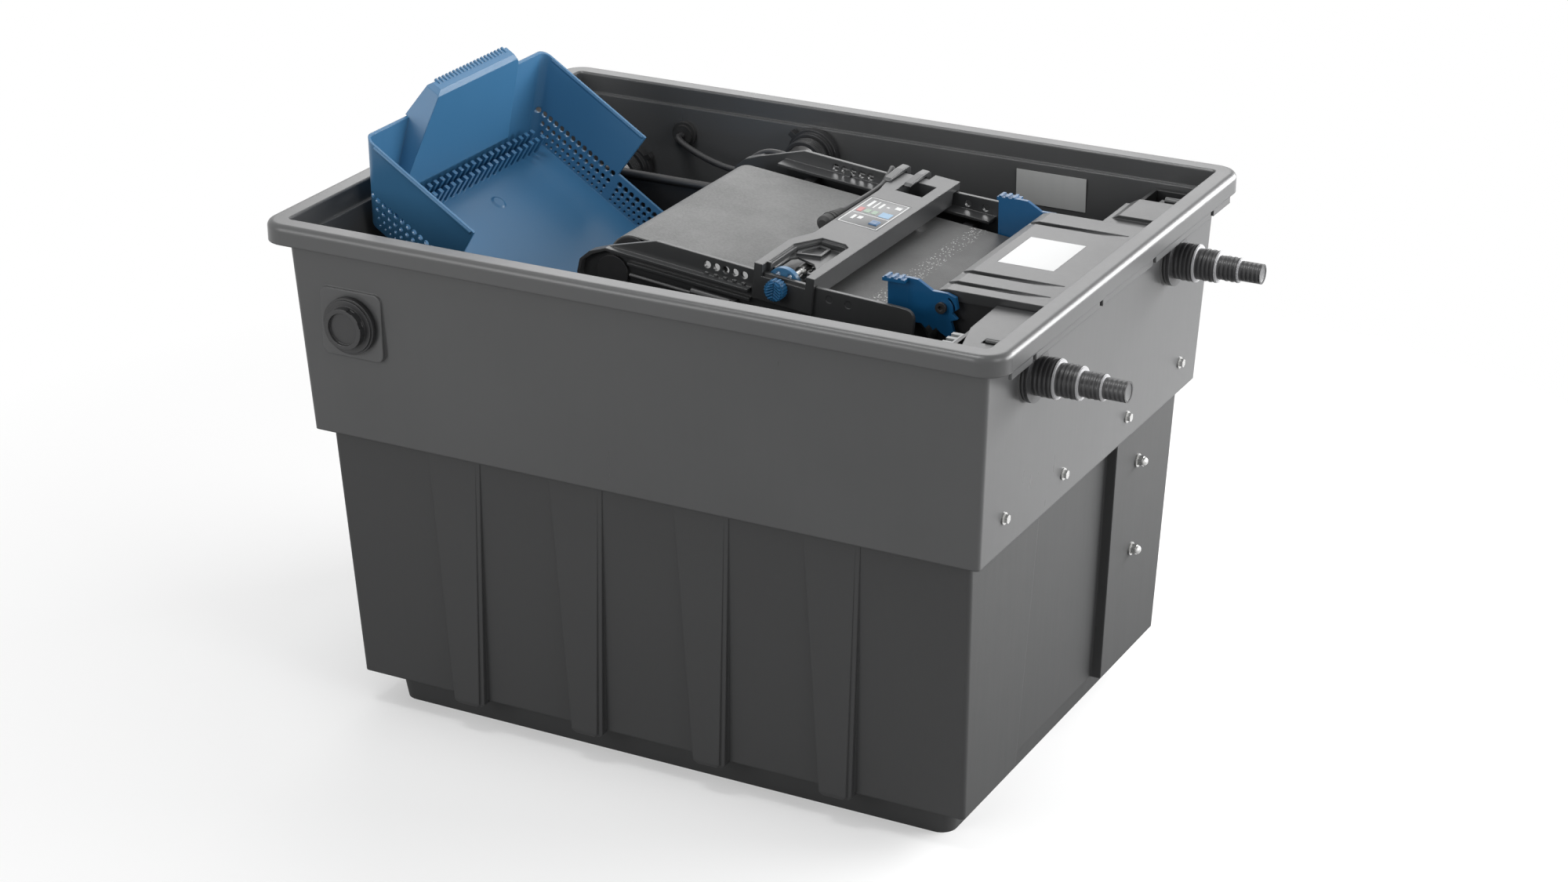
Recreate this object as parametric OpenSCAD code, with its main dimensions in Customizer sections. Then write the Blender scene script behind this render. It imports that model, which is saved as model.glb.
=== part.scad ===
// Flow-through pond filter: an open tank with a motor-driven screen belt, a lift-out dirt tray,
// foam cartridges, stepped hose adapters and outlets. Millimetres, +Z up, origin under the foot's centre.
// +X is the end with the two hose adapters, -Y the long side with the blind plug.

/* [Tank] */
// Length over the rim
rim_l = 788; // [776:1:800]
// Width over the rim
rim_w = 590; // [584:1:604]
// Height of the rim above the ground
tank_h = 535; // [533:1:541]
// Wall thickness
wall = 5; // [4:0.5:6]
// Height of the rim's outer skirt
skirt_h = 20; // [16:1:24]
// Overhang of the rim beyond the wall below it
lip_w = 21; // [18:1:23]
// How far the upper band leans in from rim to step
band_draft = 10; // [6:1:12]
// Height of the step between the upper band and the lower body
step_z = 313; // [300:1:320]
// Depth of that step
step_in = 13; // [9:1:15]
// How far the lower body's ends lean in
low_draft_end = 10; // [8:1:12]
// How far the lower body's long sides lean in
low_draft_side = 16; // [12:1:18]
// Height of the lower body's bottom edge above the ground
low_z = 37; // [32:1:42]
// How far the foot stands in from that edge
foot_in = 22; // [18:1:26]
// Number of wedge ribs on each long side
rib_count = 4; // [3:1:5]
// How far a wedge rib stands proud at its lower end
rib_proud = 9; // [6:1:12]
// Depth of the recessed panel in each end
panel_deep = 11; // [8:1:12]

/* [Inlets and outlets] */
// Height of the hose adapters' axis
inlet_z = 478; // [470:1:480]
// Outer diameter of the adapters' widest step
hose_d = 38; // [34:1:40]
// Bore through the adapters
hose_bore = 16; // [12:1:17]
// Length of one step of the adapters
hose_step = 22; // [18:1:26]
// Height of the blind plug and the rear outlet opposite it
plug_z = 437; // [430:1:440]
// Diameter of the blind plug's flange
plug_d = 58; // [50:1:62]
// Outer diameter of the outlet spigots
outlet_d = 50; // [46:1:52]
// Outer diameter of the drain's threaded neck
drain_d = 60; // [50:1:64]

/* [Belt unit] */
// Width of the screen belt
belt_w = 240; // [220:1:244]
// Distance between the two belt rollers
belt_c = 298; // [290:1:300]
// Radius over the belt on its rollers
belt_r = 25; // [22:1:26]
// Thickness of the screen belt
belt_t = 1.4; // [1:0.1:2]
// Slope of the belt down to the inlet, in degrees
belt_tilt = 5.9; // [5:0.1:6.5]
// Thickness of the side frames
frame_t = 4; // [3:0.5:5]
// Height of the side frames above the roller axis
frame_up = 43; // [41:1:44]
// Number of round holes in each side frame
hole_count = 5; // [4:1:5]
// Diameter of those holes
hole_d = 7.4; // [6:0.2:8]
// Diameter of the hand knob on the drive shaft
knob_d = 24; // [20:1:28]
// Radius of the drive pinions
pinion_r = 7.7; // [7:0.1:7.7]
// Diameter of the drive shaft
shaft_d = 8; // [6:0.5:9]

/* [Dirt tray] */
// Inside width between the tray's side walls at their foot
tray_w = 300; // [284:1:306]
// Depth of the tray along its floor
tray_d = 222; // [210:1:226]
// Height of the tray's full side walls
tray_h = 85; // [80:1:92]
// Wall thickness of the tray
tray_t = 3; // [2.5:0.5:4]
// Slope at which the tray leans in the tank, in degrees
tray_tilt = 32.7; // [31:0.1:34]
// Height of the handle plate above the tray's rim
handle_h = 38; // [30:1:44]

/* [Inlet box] */
// Height of the lid's top
lid_z = 520; // [518:1:524]
// Half width of the lid
lid_half = 120; // [112:1:121]
// Depth of the inlet box below its top edge
box_deep = 79; // [70:1:90]

/* [Levers] */
// Thickness of the latch levers
lever_t = 4; // [3:0.5:5]
// Diameter of the lever pins
pin_d = 7; // [6:0.5:8]

/* [Cable] */
// Diameter of the supply cable
cable_d = 7; // [6:0.1:7.3]

/* [Hidden] */

anthracite = "#55585a";
dark_grey = "#3f4143";
black_rubber = "#2b2c2d";
tray_blue = "#3f6f9f";
lever_blue = "#1f6ca0";
mesh_grey = "#8a8c8c";
steel = "#c9cbcc";
pale_grey = "#c4c6c6";

gap = 0.3;            // clearance between pieces that touch or nearly touch
big = 2000;           // longer than any piece

// ---- shared shapes -------------------------------------------------------------------------

// A convex body through levels [half x, half y, z], with round upright edges
module loft(levels, r) {
  hull()
    for (l = levels)
      for (x = [-1, 1], y = [-1, 1])
        translate([x * (l[0] - r), y * (l[1] - r), l[2]])
          cylinder(r = r, h = 0.01, $fn = 32);
}

// A block from corner a to corner b
module block(a, b) {
  translate([min(a[0], b[0]), min(a[1], b[1]), min(a[2], b[2])])
    cube([abs(b[0] - a[0]), abs(b[1] - a[1]), abs(b[2] - a[2])]);
}

// A flat outline in X and Z, drawn out along Y from y0 to y1
module xz_sheet(points, y0, y1) {
  translate([0, y1, 0])
    rotate([90, 0, 0])
      linear_extrude(y1 - y0)
        polygon(points);
}

// A flat outline in Y and Z, drawn out along X from x0 to x1
module yz_sheet(points, x0, x1) {
  translate([x0, 0, 0])
    rotate([90, 0, 90])
      linear_extrude(x1 - x0)
        polygon(points);
}

// A round bar along X, Y or Z
module bar_x(r, x0, x1, y, z) {
  translate([x0, y, z])
    rotate([0, 90, 0])
      cylinder(r = r, h = x1 - x0, $fn = 48);
}
module bar_y(r, y0, y1, x, z) {
  translate([x, y0, z])
    rotate([-90, 0, 0])
      cylinder(r = r, h = y1 - y0, $fn = 48);
}

// Points of an arc in the plane
function arc(cx, cy, r, a0, a1, n) = [for (i = [0:n]) let (a = a0 + (a1 - a0) * i / n)
                                      [cx + r * cos(a), cy + r * sin(a)]];

// ---- tank ----------------------------------------------------------------------------------

rim_hl = rim_l / 2;
rim_hw = rim_w / 2;
skirt_z = tank_h - skirt_h;
rim_r = lip_w + 5;                 // outer corner radius of the rim
skirt_t = 3;                       // thickness of the rim's skirt
mouth_in = 22;                     // from the rim's outside to the mouth
corner_r = 5;                      // outer corner radius of the walls
mouth = [rim_hl - mouth_in, rim_hw - mouth_in];
ledge_z = tank_h - 21;             // step line round the inside, just under the rim
foot_r = 16;                       // corner radius of the foot

// Outer half length and half width of the upper band and of the lower body at height z
function band(z) = let (k = (skirt_z - z) / (skirt_z - step_z))
                   [rim_hl - lip_w - band_draft * k, rim_hw - lip_w - band_draft * k];
low_top = band(step_z) - [step_in, step_in];
function low(z) = let (k = (step_z - z) / (step_z - low_z))
                  [low_top[0] - low_draft_end * k, low_top[1] - low_draft_side * k];
foot_half = low(low_z) - [foot_in, foot_in];
function level(half, z) = [half[0], half[1], z];
function less(half, t) = [half[0] - t, half[1] - t];

// Cross-section of the rolled rim; x is measured from the corner's centre line
module rim_section() {
  round_r = 6;
  roof_t = 3;
  polygon(concat(
    [[rim_r - skirt_t, skirt_z], [rim_r, skirt_z]],
    arc(rim_r - round_r, tank_h - round_r, round_r, 0, 90, 6),
    [[rim_r - mouth_in + 1.5, tank_h], [rim_r - mouth_in - 0.5, tank_h - 2],
     [rim_r - mouth_in - 0.5, ledge_z - 8], [rim_r - mouth_in + 0.8, ledge_z - 8],
     [rim_r - mouth_in + 0.8, skirt_z - 0.5], [rim_r - mouth_in + 4, skirt_z + 2],
     [rim_r - mouth_in + 4, tank_h - roof_t], [rim_r - skirt_t, tank_h - roof_t]]));
}

module rim() {
  cx = rim_hl - rim_r;
  cy = rim_hw - rim_r;
  for (i = [0:3])
    translate([(i == 0 || i == 3 ? 1 : -1) * cx, (i < 2 ? 1 : -1) * cy, 0])
      rotate([0, 0, 90 * i])
        rotate_extrude(angle = 90, $fn = 96)
          rim_section();
  for (s = [0, 180])
    rotate([0, 0, s]) {
      translate([cx, cy, 0])
        rotate([90, 0, 0])
          linear_extrude(2 * cy)
            rim_section();
      translate([-cx, cy, 0])
        rotate([90, 0, 90])
          linear_extrude(2 * cx)
            rim_section();
    }
}

// The mouth's clear opening, from the ledge upwards
module mouth_space() {
  r = 4;
  translate([0, 0, ledge_z]) {
    block([-mouth[0] + r, -mouth[1], 0], [mouth[0] - r, mouth[1], 40]);
    block([-mouth[0], -mouth[1] + r, 0], [mouth[0], mouth[1] - r, 40]);
    for (x = [-1, 1], y = [-1, 1])
      translate([x * (mouth[0] - r), y * (mouth[1] - r), 0])
        cylinder(r = r, h = 40, $fn = 32);
  }
}

// Lower strip of the skirt at the two ends, with arched drip notches
strip_h = 9;
strip_t = 3;
notch_r = 4;
notch_ys = [-216, -65, 65, 216];
module end_strip() {
  x1 = rim_hl - skirt_t + 0.4;
  half = rim_hw - rim_r - 4;
  difference() {
    block([x1 - strip_t, -half, skirt_z - strip_h], [x1, half, skirt_z + 6]);
    for (y = notch_ys) {
      bar_x(notch_r, x1 - 8, x1 + 8, y, skirt_z - notch_r);
      block([x1 - 8, y - notch_r, skirt_z - strip_h - 1], [x1 + 8, y + notch_r, skirt_z - notch_r]);
    }
  }
}

// Recessed panel in an end wall; grow makes the same form one wall thicker, for the inside
panel_y0 = -117;
panel_y1 = 94;
panel_lean = 21;                   // the panel's front edge leans by this much over its height
module end_panel(grow) {
  z0 = low_z - 1;
  z1 = step_z + grow;
  intersection() {
    xz_sheet([[low(z0)[0] - panel_deep - grow, z0], [low(z0)[0] + 20, z0],
              [low(z1)[0] + 20, z1], [low(z1)[0] - panel_deep - grow, z1]], -big / 4, big / 4);
    yz_sheet([[panel_y0 - grow, z0], [panel_y1 + grow, z0],
              [panel_y1 + grow, z1], [panel_y0 + panel_lean - grow, z1]], 200, 420);
  }
}
module end_panels(grow) {
  end_panel(grow);
  mirror([1, 0, 0])
    end_panel(grow);
}

// Wedge ribs on the long sides: flush at the top, proud at the bottom
rib_top_z = step_z - 4;
rib_bot_z = low_z - 7;
rib_half_top = 30;
rib_half_bot = 17;
rib_pitch = low_top[0] * 2 / (rib_count + 1.06);
function rib_x(i) = (i - (rib_count - 1) / 2) * rib_pitch;
module rib(x, proud, right_in) {
  chamfer = 4;
  h0 = low(rib_bot_z)[1];
  h1 = low(rib_top_z)[1];
  intersection() {
    xz_sheet([[x - rib_half_top, rib_top_z], [x - rib_half_bot, rib_bot_z + chamfer],
              [x - rib_half_bot + chamfer, rib_bot_z], [x + rib_half_bot - right_in - chamfer, rib_bot_z],
              [x + rib_half_bot - right_in, rib_bot_z + chamfer], [x + rib_half_top - right_in, rib_top_z]],
             -big / 4, 0);
    yz_sheet([[-h1 + 3, rib_top_z], [-h0 + 3, rib_bot_z], [-h0 - proud + 2, rib_bot_z],
              [-h0 - proud, rib_bot_z + chamfer], [-h1 - 0.3, rib_top_z]], -big / 4, big / 4);
  }
}
module ribs() {
  lip = 2;
  strip = 5;
  for (i = [0:rib_count - 1], s = [0, 180])
    rotate([0, 0, s]) {
      rib(rib_x(i), rib_proud - lip, 0);
      rib(rib_x(i), rib_proud, strip);
    }
}

// Square moulded pads round the plug and the rear outlet
plug_x = -304;
pad_half = 35;
pad_face = band(plug_z + pad_half)[1] + 1.5;
module pad(s) {
  r = 8;
  mirror([0, s > 0 ? 1 : 0, 0])
    intersection() {
      translate([plug_x, -pad_face, plug_z])
        rotate([-90, 0, 0])
          union() {
            translate([-pad_half + r, -pad_half, 0])
              cube([2 * pad_half - 2 * r, 2 * pad_half, 14]);
            translate([-pad_half, -pad_half + r, 0])
              cube([2 * pad_half, 2 * pad_half - 2 * r, 14]);
            for (x = [-1, 1], y = [-1, 1])
              translate([x * (pad_half - r), y * (pad_half - r), 0])
                cylinder(r = r, h = 14, $fn = 32);
          }
      block([-rim_hl, -rim_hw, plug_z - 60], [rim_hl, -band(plug_z - pad_half)[1] + wall - 1, plug_z + 60]);
    }
}

inlet_ys = [-180, 158];
inlet_face = band(inlet_z + 26)[0] + 0.4;
inlet_neck_d = 30;
fit_gap = 0.5;                     // clearance of a threaded neck in the wall
high_x = -77;
high_z = 486;
high_face = band(high_z + 24)[1] + 0.4;
outlet_neck_d = outlet_d - 6;
plug_neck_d = 36;
drain_z = 88;
drain_face = low(drain_z)[0] - panel_deep + 1.6;
grommet_x = -236;
grommet_z = 485;
grommet_hole_d = 18;
screw_places = [[-214, 347], [-78, 338], [78, 338], [214, 347]];
screw_d = 5;
stud_y = 152;
stud_zs = [161, 260];
stud_d = 6;

module tank() {
  color(anthracite)
    difference() {
      union() {
        rim();
        loft([level(band(step_z), step_z), level(band(skirt_z), skirt_z)], corner_r);
        loft([level(low(low_z), low_z), level(low(step_z + wall), step_z + wall)], corner_r);
        loft([level(less(foot_half, 5), 0), level(foot_half, low_z + wall)], foot_r);
        end_strip();
        mirror([1, 0, 0])
          end_strip();
        ribs();
        pad(-1);
        pad(1);
        for (y = inlet_ys)
          bar_x(26.6, inlet_face - wall, inlet_face, y, inlet_z);
        bar_y(30, high_face - wall, high_face, high_x, high_z);
      }
      end_panels(0);
      difference() {
        union() {
          mouth_space();
          loft([level(less(band(step_z + wall), wall), step_z + wall),
                level(less(band(ledge_z), wall), ledge_z + 0.5)], corner_r - 2);
          loft([level(less(low(low_z + wall), wall), low_z + wall),
                level(less(low(step_z + wall), wall), step_z + wall + 1)], corner_r - 2);
          loft([level(less(foot_half, wall + 5), wall), level(less(foot_half, wall + 1), low_z + wall + 1)],
               foot_r - wall);
        }
        end_panels(wall);
      }
      for (y = inlet_ys)
        bar_x(inlet_neck_d / 2 + fit_gap, inlet_face - 40, inlet_face + 20, y, inlet_z);
      bar_y(plug_neck_d / 2 + fit_gap, -pad_face - 20, -pad_face + 30, plug_x, plug_z);
      bar_y(outlet_neck_d / 2 + fit_gap, pad_face - 30, pad_face + 20, plug_x, plug_z);
      bar_y(outlet_neck_d / 2 + fit_gap, high_face - 30, high_face + 20, high_x, high_z);
      bar_x(drain_d / 2 + fit_gap, -drain_face - 20, -drain_face + 30, 0, drain_z);
      bar_y(grommet_hole_d / 2, high_face - 30, high_face + 20, grommet_x, grommet_z);
      for (p = screw_places)
        bar_x(screw_d / 2 + 0.2, band(p[1])[0] - 30, band(p[1])[0] + 20, p[0], p[1]);
      for (z = stud_zs)
        bar_x(stud_d / 2 + 0.2, low(z)[0] - 30, low(z)[0] + 20, stud_y, z);
    }
}

// ---- inside of the tank --------------------------------------------------------------------

floor_z = wall;
part_y = 194;                      // middle of the partition
part_t = 4;
part_top = 457;
rail_r = 5;
box_x0 = 311;                      // front face of the inlet trough
box_x1 = band(tank_h - 110)[0] - wall - gap;
box_top = lid_z - 11;
box_bot = box_top - box_deep;
box_t = 4;
box_half = band(box_bot)[1] - wall - gap;

// Wall between the clean-water chamber and the filter chamber, with a round top rail
module partition_wall() {
  in = wall + gap;
  y0 = part_y - part_t / 2;
  cut_x = box_x0 - 70;
  foot_x = foot_half[0] - wall - 9 - gap;
  low0 = low(low_z + wall)[0] - in;
  low1 = low(step_z + wall)[0] - in;
  band0 = band(step_z + wall)[0] - in;
  band1 = band(part_top)[0] - in;
  band2 = band(box_bot - 8)[0] - in;
  color(dark_grey)
    difference() {
      union() {
        xz_sheet([[-foot_x, floor_z + gap], [foot_x, floor_z + gap], [foot_x, low_z + wall + gap],
                  [low0, low_z + wall + gap], [low1, step_z + wall + gap], [band0, step_z + wall + gap],
                  [band2, box_bot - 8], [cut_x, box_bot - 8], [cut_x, part_top], [-band1, part_top],
                  [-band0, step_z + wall + gap], [-low1, step_z + wall + gap],
                  [-low0, low_z + wall + gap], [-foot_x, low_z + wall + gap]], y0, y0 + part_t);
        bar_x(rail_r, -band1, cut_x, part_y, part_top);
        // flange that the two studs in the end wall hold
        xz_sheet([[low(stud_zs[0] - 20)[0] - in, stud_zs[0] - 20],
                  [low(stud_zs[1] + 20)[0] - in, stud_zs[1] + 20],
                  [low(stud_zs[1] + 20)[0] - in - part_t, stud_zs[1] + 20],
                  [low(stud_zs[0] - 20)[0] - in - part_t, stud_zs[0] - 20]], stud_y - 14, y0 + 1);
      }
      for (z = stud_zs)
        bar_x(stud_d / 2 + 0.2, low(z)[0] - 30, low(z)[0], stud_y, z);
      // passages through which the cleaned water leaves, low down
      for (x = [-240, -80, 80, 240])
        block([x - 40, y0 - 1, low_z + 20], [x + 40, y0 + part_t + 1, low_z + 60]);
    }
}

// Foam cartridges stand on a grate over the foot's hollow
grate_z = low_z + wall + gap;
grate_h = 10;
grate_half = [low(low_z + wall)[0] - wall - panel_deep - 6 - gap, part_y - part_t / 2 - gap];
cart_nx = 4;
cart_x0 = -308;
cart_x1 = 212;
cart_ys = [-214, 186];
cart_gap = 12;
cart_top = 366;
cart_w = (cart_x1 - cart_x0 - (cart_nx - 1) * cart_gap) / cart_nx;
cart_l = (cart_ys[1] - cart_ys[0] - cart_gap) / 2;
function cart_x(i) = cart_x0 + cart_w / 2 + i * (cart_w + cart_gap);
function cart_y(j) = cart_ys[0] + cart_l / 2 + j * (cart_l + cart_gap);
rod_d = 16;

module foam_grate() {
  bars = 9;
  y_front = low(grate_z)[1] - wall - gap - 1;
  color(dark_grey)
    difference() {
      block([-grate_half[0], -y_front, grate_z], [grate_half[0], grate_half[1], grate_z + grate_h]);
      for (i = [0:bars - 1]) {
        pitch = (2 * grate_half[0] - 20) / bars;
        x = -grate_half[0] + 10 + (i + 0.5) * pitch;
        block([x - pitch / 2 + 8, -y_front + 14, grate_z - 1],
              [x + pitch / 2 - 8, grate_half[1] - 14, grate_z + grate_h + 1]);
      }
    }
}

module foam_block(i, j) {
  r = 14;
  z0 = grate_z + grate_h + gap;
  translate([cart_x(i), cart_y(j), z0])
    difference() {
      union() {
        block([-cart_w / 2 + r, -cart_l / 2, 0], [cart_w / 2 - r, cart_l / 2, cart_top - z0 - 22]);
        block([-cart_w / 2, -cart_l / 2 + r, 0], [cart_w / 2, cart_l / 2 - r, cart_top - z0 - 22]);
        for (x = [-1, 1], y = [-1, 1])
          translate([x * (cart_w / 2 - r), y * (cart_l / 2 - r), 0])
            cylinder(r = r, h = cart_top - z0 - 22, $fn = 32);
      }
      translate([0, 0, -1])
        cylinder(d = rod_d + 2 * gap, h = cart_top, $fn = 48);
    }
}
module foam_coarse() {
  color("#3b5f86")
    for (i = [0:cart_nx - 1])
      foam_block(i, i % 2);
}
module foam_fine() {
  color("#8a3a34")
    for (i = [0:cart_nx - 1])
      foam_block(i, (i + 1) % 2);
}

// Each cartridge has a tube up its middle, with a pressure plate and a pull ring on top
module cartridge_rods() {
  plate_t = 4;
  plate_z = cart_top - 22 + gap;
  color(dark_grey)
    for (i = [0:cart_nx - 1], j = [0, 1])
      translate([cart_x(i), cart_y(j), 0])
        difference() {
          union() {
            translate([0, 0, grate_z + grate_h + gap])
              cylinder(d = rod_d, h = plate_z - grate_z - grate_h, $fn = 48);
            block([-cart_w / 2 + 10, -cart_l / 2 + 10, plate_z],
                  [cart_w / 2 - 10, cart_l / 2 - 10, plate_z + plate_t]);
            block([-26, -3, plate_z], [26, 3, cart_top]);
          }
          block([-18, -4, plate_z + plate_t + 1], [18, 4, cart_top - 4]);
          translate([0, 0, -1])
            cylinder(d = rod_d - 5, h = plate_z - 4, $fn = 48);
        }
}

// ---- dirt tray -----------------------------------------------------------------------------

// The tray is drawn level, with its rim at height 0 and its back at u = 0, and then leant over
tray_drop = tray_h - 34.5;         // how far the side walls step down near the front
tray_step_u = 145;                 // where they step down
tray_back = 42;                    // how far the back wall leans in down to the floor
tray_r = 12;                       // outer corner radius at the back
flare = 15.5;                      // how far each side wall leans out up to the rim
tray_half = tray_w / 2;
tray_heel = [tray_back - 14 - tray_t, -tray_h + 10];  // lowest point of the back that meets the tank
tray_rest_z = 397;                 // height at which the floor's front edge rests
tray_o = [-(band(ledge_z)[0] - wall - 0.9) - tray_heel[0] * cos(tray_tilt) - tray_heel[1] * sin(tray_tilt), -3.2,
          tray_rest_z + (tray_d + tray_t) * sin(tray_tilt) + tray_h * cos(tray_tilt)];
module tray_pose() {
  translate(tray_o)
    rotate([0, tray_tilt, 0])
      children();
}
// World place of the floor's front edge, which rests on the rack
tray_front = [tray_o[0] + tray_d * cos(tray_tilt) - tray_h * sin(tray_tilt),
              tray_o[2] - tray_d * sin(tray_tilt) - tray_h * cos(tray_tilt)];

// Side outline of the tray in u and w
tray_side = [[-tray_t - 1, 1], [tray_step_u, 1], [tray_step_u - 1.5, -tray_drop], [tray_d + tray_t - 6, -tray_drop],
             [tray_d + tray_t, -tray_drop - 6], [tray_d + tray_t, -tray_h + 8], [tray_d - 8, -tray_h - 1],
             [tray_back, -tray_h - 1], tray_heel, [-tray_t - 1, -6]];

// Block with round upright corners that leans out on both sides and at the back; t makes it smaller all round
module tray_block(t, u_end, w_low) {
  r = tray_r - t;
  k = (tray_h + w_low) / tray_h;
  hull()
    for (s = [-1, 1]) {
      translate([tray_back - tray_t + t + r - tray_back * k, s * (tray_half + tray_t - t - r + flare * k), w_low])
        cylinder(r = r, h = 0.01, $fn = 48);
      translate([t - tray_t + r, s * (tray_half + tray_t - t - r + flare), 0])
        cylinder(r = r, h = 0.01, $fn = 48);
      translate([u_end - r, s * (tray_half + tray_t - t - r + flare * k), w_low])
        cylinder(r = r, h = 0.01, $fn = 48);
      translate([u_end - r, s * (tray_half + tray_t - t - r + flare), 0])
        cylinder(r = r, h = 0.01, $fn = 48);
    }
}

// Four rows of round holes in both side walls: height above the floor, first hole, pitch, count, radius
hole_rows = [[28, 31, 8.2, 14, 3.1], [18.5, 43, 7.9, 13, 2.5], [10.5, 48, 7.5, 13, 1.9], [3.5, 53, 6.6, 14, 1.4]];
low_rows = [[23, 151.5, 8.3, 7, 2.9], [16, 152, 7.9, 7, 2.3], [9.5, 152, 7.4, 7, 1.8], [3.5, 152, 6.8, 7, 1.3]];
module tray_holes() {
  for (row = concat(hole_rows, low_rows), i = [0:row[3] - 1])
    bar_y(row[4], -tray_half - 30, tray_half + 30, row[1] + i * row[2], -tray_h + tray_t + row[0]);
}

// Shell of the tray: full side walls at the back, low ones at the front, open end to the belt
module tray_shell() {
  difference() {
    intersection() {
      xz_sheet(tray_side, -tray_half - 40, tray_half + 40);
      tray_block(0, tray_d + 60, -tray_h);
    }
    tray_block(tray_t, tray_d + 80, -tray_h + tray_t);
    tray_holes();
  }
}

// Handle: a hollow pocket that stands out from the back wall and rises above the rim to a ribbed grip
grip_t = 13;
handle_y0 = -79;
handle_y1 = 72;
module handle_outline(t) {
  yz_sheet([[handle_y0 - 34 + t, -tray_h + 26], [handle_y0 - 13 + t, 0], [handle_y0 + t, handle_h - 4],
            [handle_y0 + 5 + t, handle_h - t], [handle_y1 - 8 - t, handle_h - t], [handle_y1 - t, handle_h - 8],
            [handle_y1 + 3 - t, 14], [handle_y1 + 12 - t, -tray_h + 26]], -20, 80);
}
module tray_handle() {
  foot = tray_back * (tray_h - 26) / tray_h;
  t = 2.4;
  difference() {
    intersection() {
      handle_outline(0);
      xz_sheet([[-5, handle_h - 3], [-3, handle_h], [grip_t - 5, handle_h], [grip_t - 1, handle_h - 5],
                [foot + grip_t - 1, -tray_h + 26], [foot - 1, -tray_h + 26], [-1, 0], [-5, 0]], -big / 4, big / 4);
    }
    // the grip is open towards the back and underneath
    intersection() {
      handle_outline(t);
      xz_sheet([[-20, handle_h - 8], [grip_t - 6, handle_h - 5], [grip_t - 5, handle_h - 8],
                [foot + grip_t - 6, -tray_h + 25], [foot + 1.5, -tray_h + 25], [1.5, 0], [-20, 0]], -big / 4, big / 4);
    }
  }
  // ribs across the grip
  for (i = [0:19])
    translate([-5.6, handle_y0 + 12 + i * (handle_y1 - handle_y0 - 28) / 19, handle_h - 1.4])
      cube([7, 2.6, 2.2]);
}

// Two rows of pegs that strain the dirt along the back wall, turning the corner at the far side
peg_n = 24;
peg_half = 2.6;
module peg(u, y) {
  block([u - peg_half, y - peg_half, -tray_h + tray_t - 0.5], [u + peg_half, y + peg_half, -tray_h + tray_t + 21]);
}
module tray_pegs() {
  for (row = [0, 1], i = [0:peg_n - 1])
    peg(tray_back + 5 + row * 11, -tray_half + 10 + (i + row * 0.5) * (2 * tray_half - 22) / peg_n);
}

module dirt_tray() {
  lip_h = 8;
  color(tray_blue)
    tray_pose() {
      tray_shell();
      tray_handle();
      tray_pegs();
      // shallow gate mark in the floor
      translate([91, 16, -tray_h + tray_t - 0.2])
        cylinder(r1 = 9, r2 = 6, h = 1.6, $fn = 32);
      // rolled edge along the full side walls
      for (s = [-1, 1])
        bar_x(2.4, tray_r, tray_step_u - 3, s * (tray_half + tray_t / 2 + flare), -2.4);
      // front lip that rises towards both low walls
      difference() {
        yz_sheet([[-tray_half - 9, -tray_drop - 1], [-tray_half + 26, -tray_h + lip_h], [tray_half - 26, -tray_h + lip_h],
                  [tray_half + 9, -tray_drop - 1], [tray_half + 1, -tray_h + 1], [-tray_half - 1, -tray_h + 1]],
                 tray_d - 3, tray_d);
        block([tray_d - 4, -tray_half + 30, -tray_h + lip_h - 3], [tray_d + 1, tray_half - 30, 0]);
      }
    }
}

// Cross bar and rear ledge that carry the tray
module tray_rack() {
  bar_w = 16;
  bar_h = 12;
  top = tray_front[1] - gap - 0.5;
  half_f = band(top - bar_h - 20)[1] - wall - gap;
  x = tray_front[0] - 6;
  color(dark_grey) {
    block([x - bar_w / 2, -half_f, top - bar_h], [x + bar_w / 2, part_y - part_t / 2 - gap, top]);
    block([x - 20, -half_f, top - bar_h - 20], [x + 20, -half_f + 4, top]);
    block([x - 20, part_y - part_t / 2 - gap - 4, top - bar_h - 20], [x + 20, part_y - part_t / 2 - gap, top]);
  }
}

// ---- inlet box -----------------------------------------------------------------------------

centre_x0 = 250;                   // lip from which the water runs onto the belt
centre_half = lid_half - 2;
pivot = [254, 503.5];
arm_y = 153;
arm_z = 430;
arm_x0 = 222;
module inlet_box() {
  lip_z = 487;
  color(dark_grey)
    difference() {
      union() {
        block([box_x0, -box_half, box_bot], [box_x1, box_half, box_top]);
        block([centre_x0, -centre_half, box_bot], [box_x0 + 1, centre_half, box_top]);
        for (s = [-1, 1])
          block([arm_x0, s * (arm_y - 8), arm_z - 6 - gap], [box_x0 + 1, s * (arm_y + 8), arm_z - gap]);
        // lip over the end of the belt
        block([centre_x0 - 8, -centre_half + box_t, lip_z - 3], [centre_x0 + 1, centre_half - box_t, lip_z]);
      }
      block([box_x0 + box_t, -box_half + box_t, box_bot + box_t], [box_x1 - box_t, box_half - box_t, box_top + 1]);
      block([centre_x0 + box_t, -centre_half + box_t, box_bot + box_t],
            [box_x0 + box_t + 1, centre_half - box_t, box_top + 1]);
      block([centre_x0 - 1, -centre_half + box_t, lip_z], [centre_x0 + box_t + 1, centre_half - box_t, box_top + 1]);
      for (y = inlet_ys)
        bar_x(inlet_neck_d / 2 + fit_gap, box_x1 - 10, box_x1 + 10, y, inlet_z);
      bar_y(pin_d / 2 + 0.05, -centre_half - 1, -centre_half + box_t + 1, pivot[0] + 4, pivot[1] - 0);
      bar_y(pin_d / 2 + 0.05, centre_half - box_t - 1, centre_half + 1, pivot[0] + 4, pivot[1]);
    }
}

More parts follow.
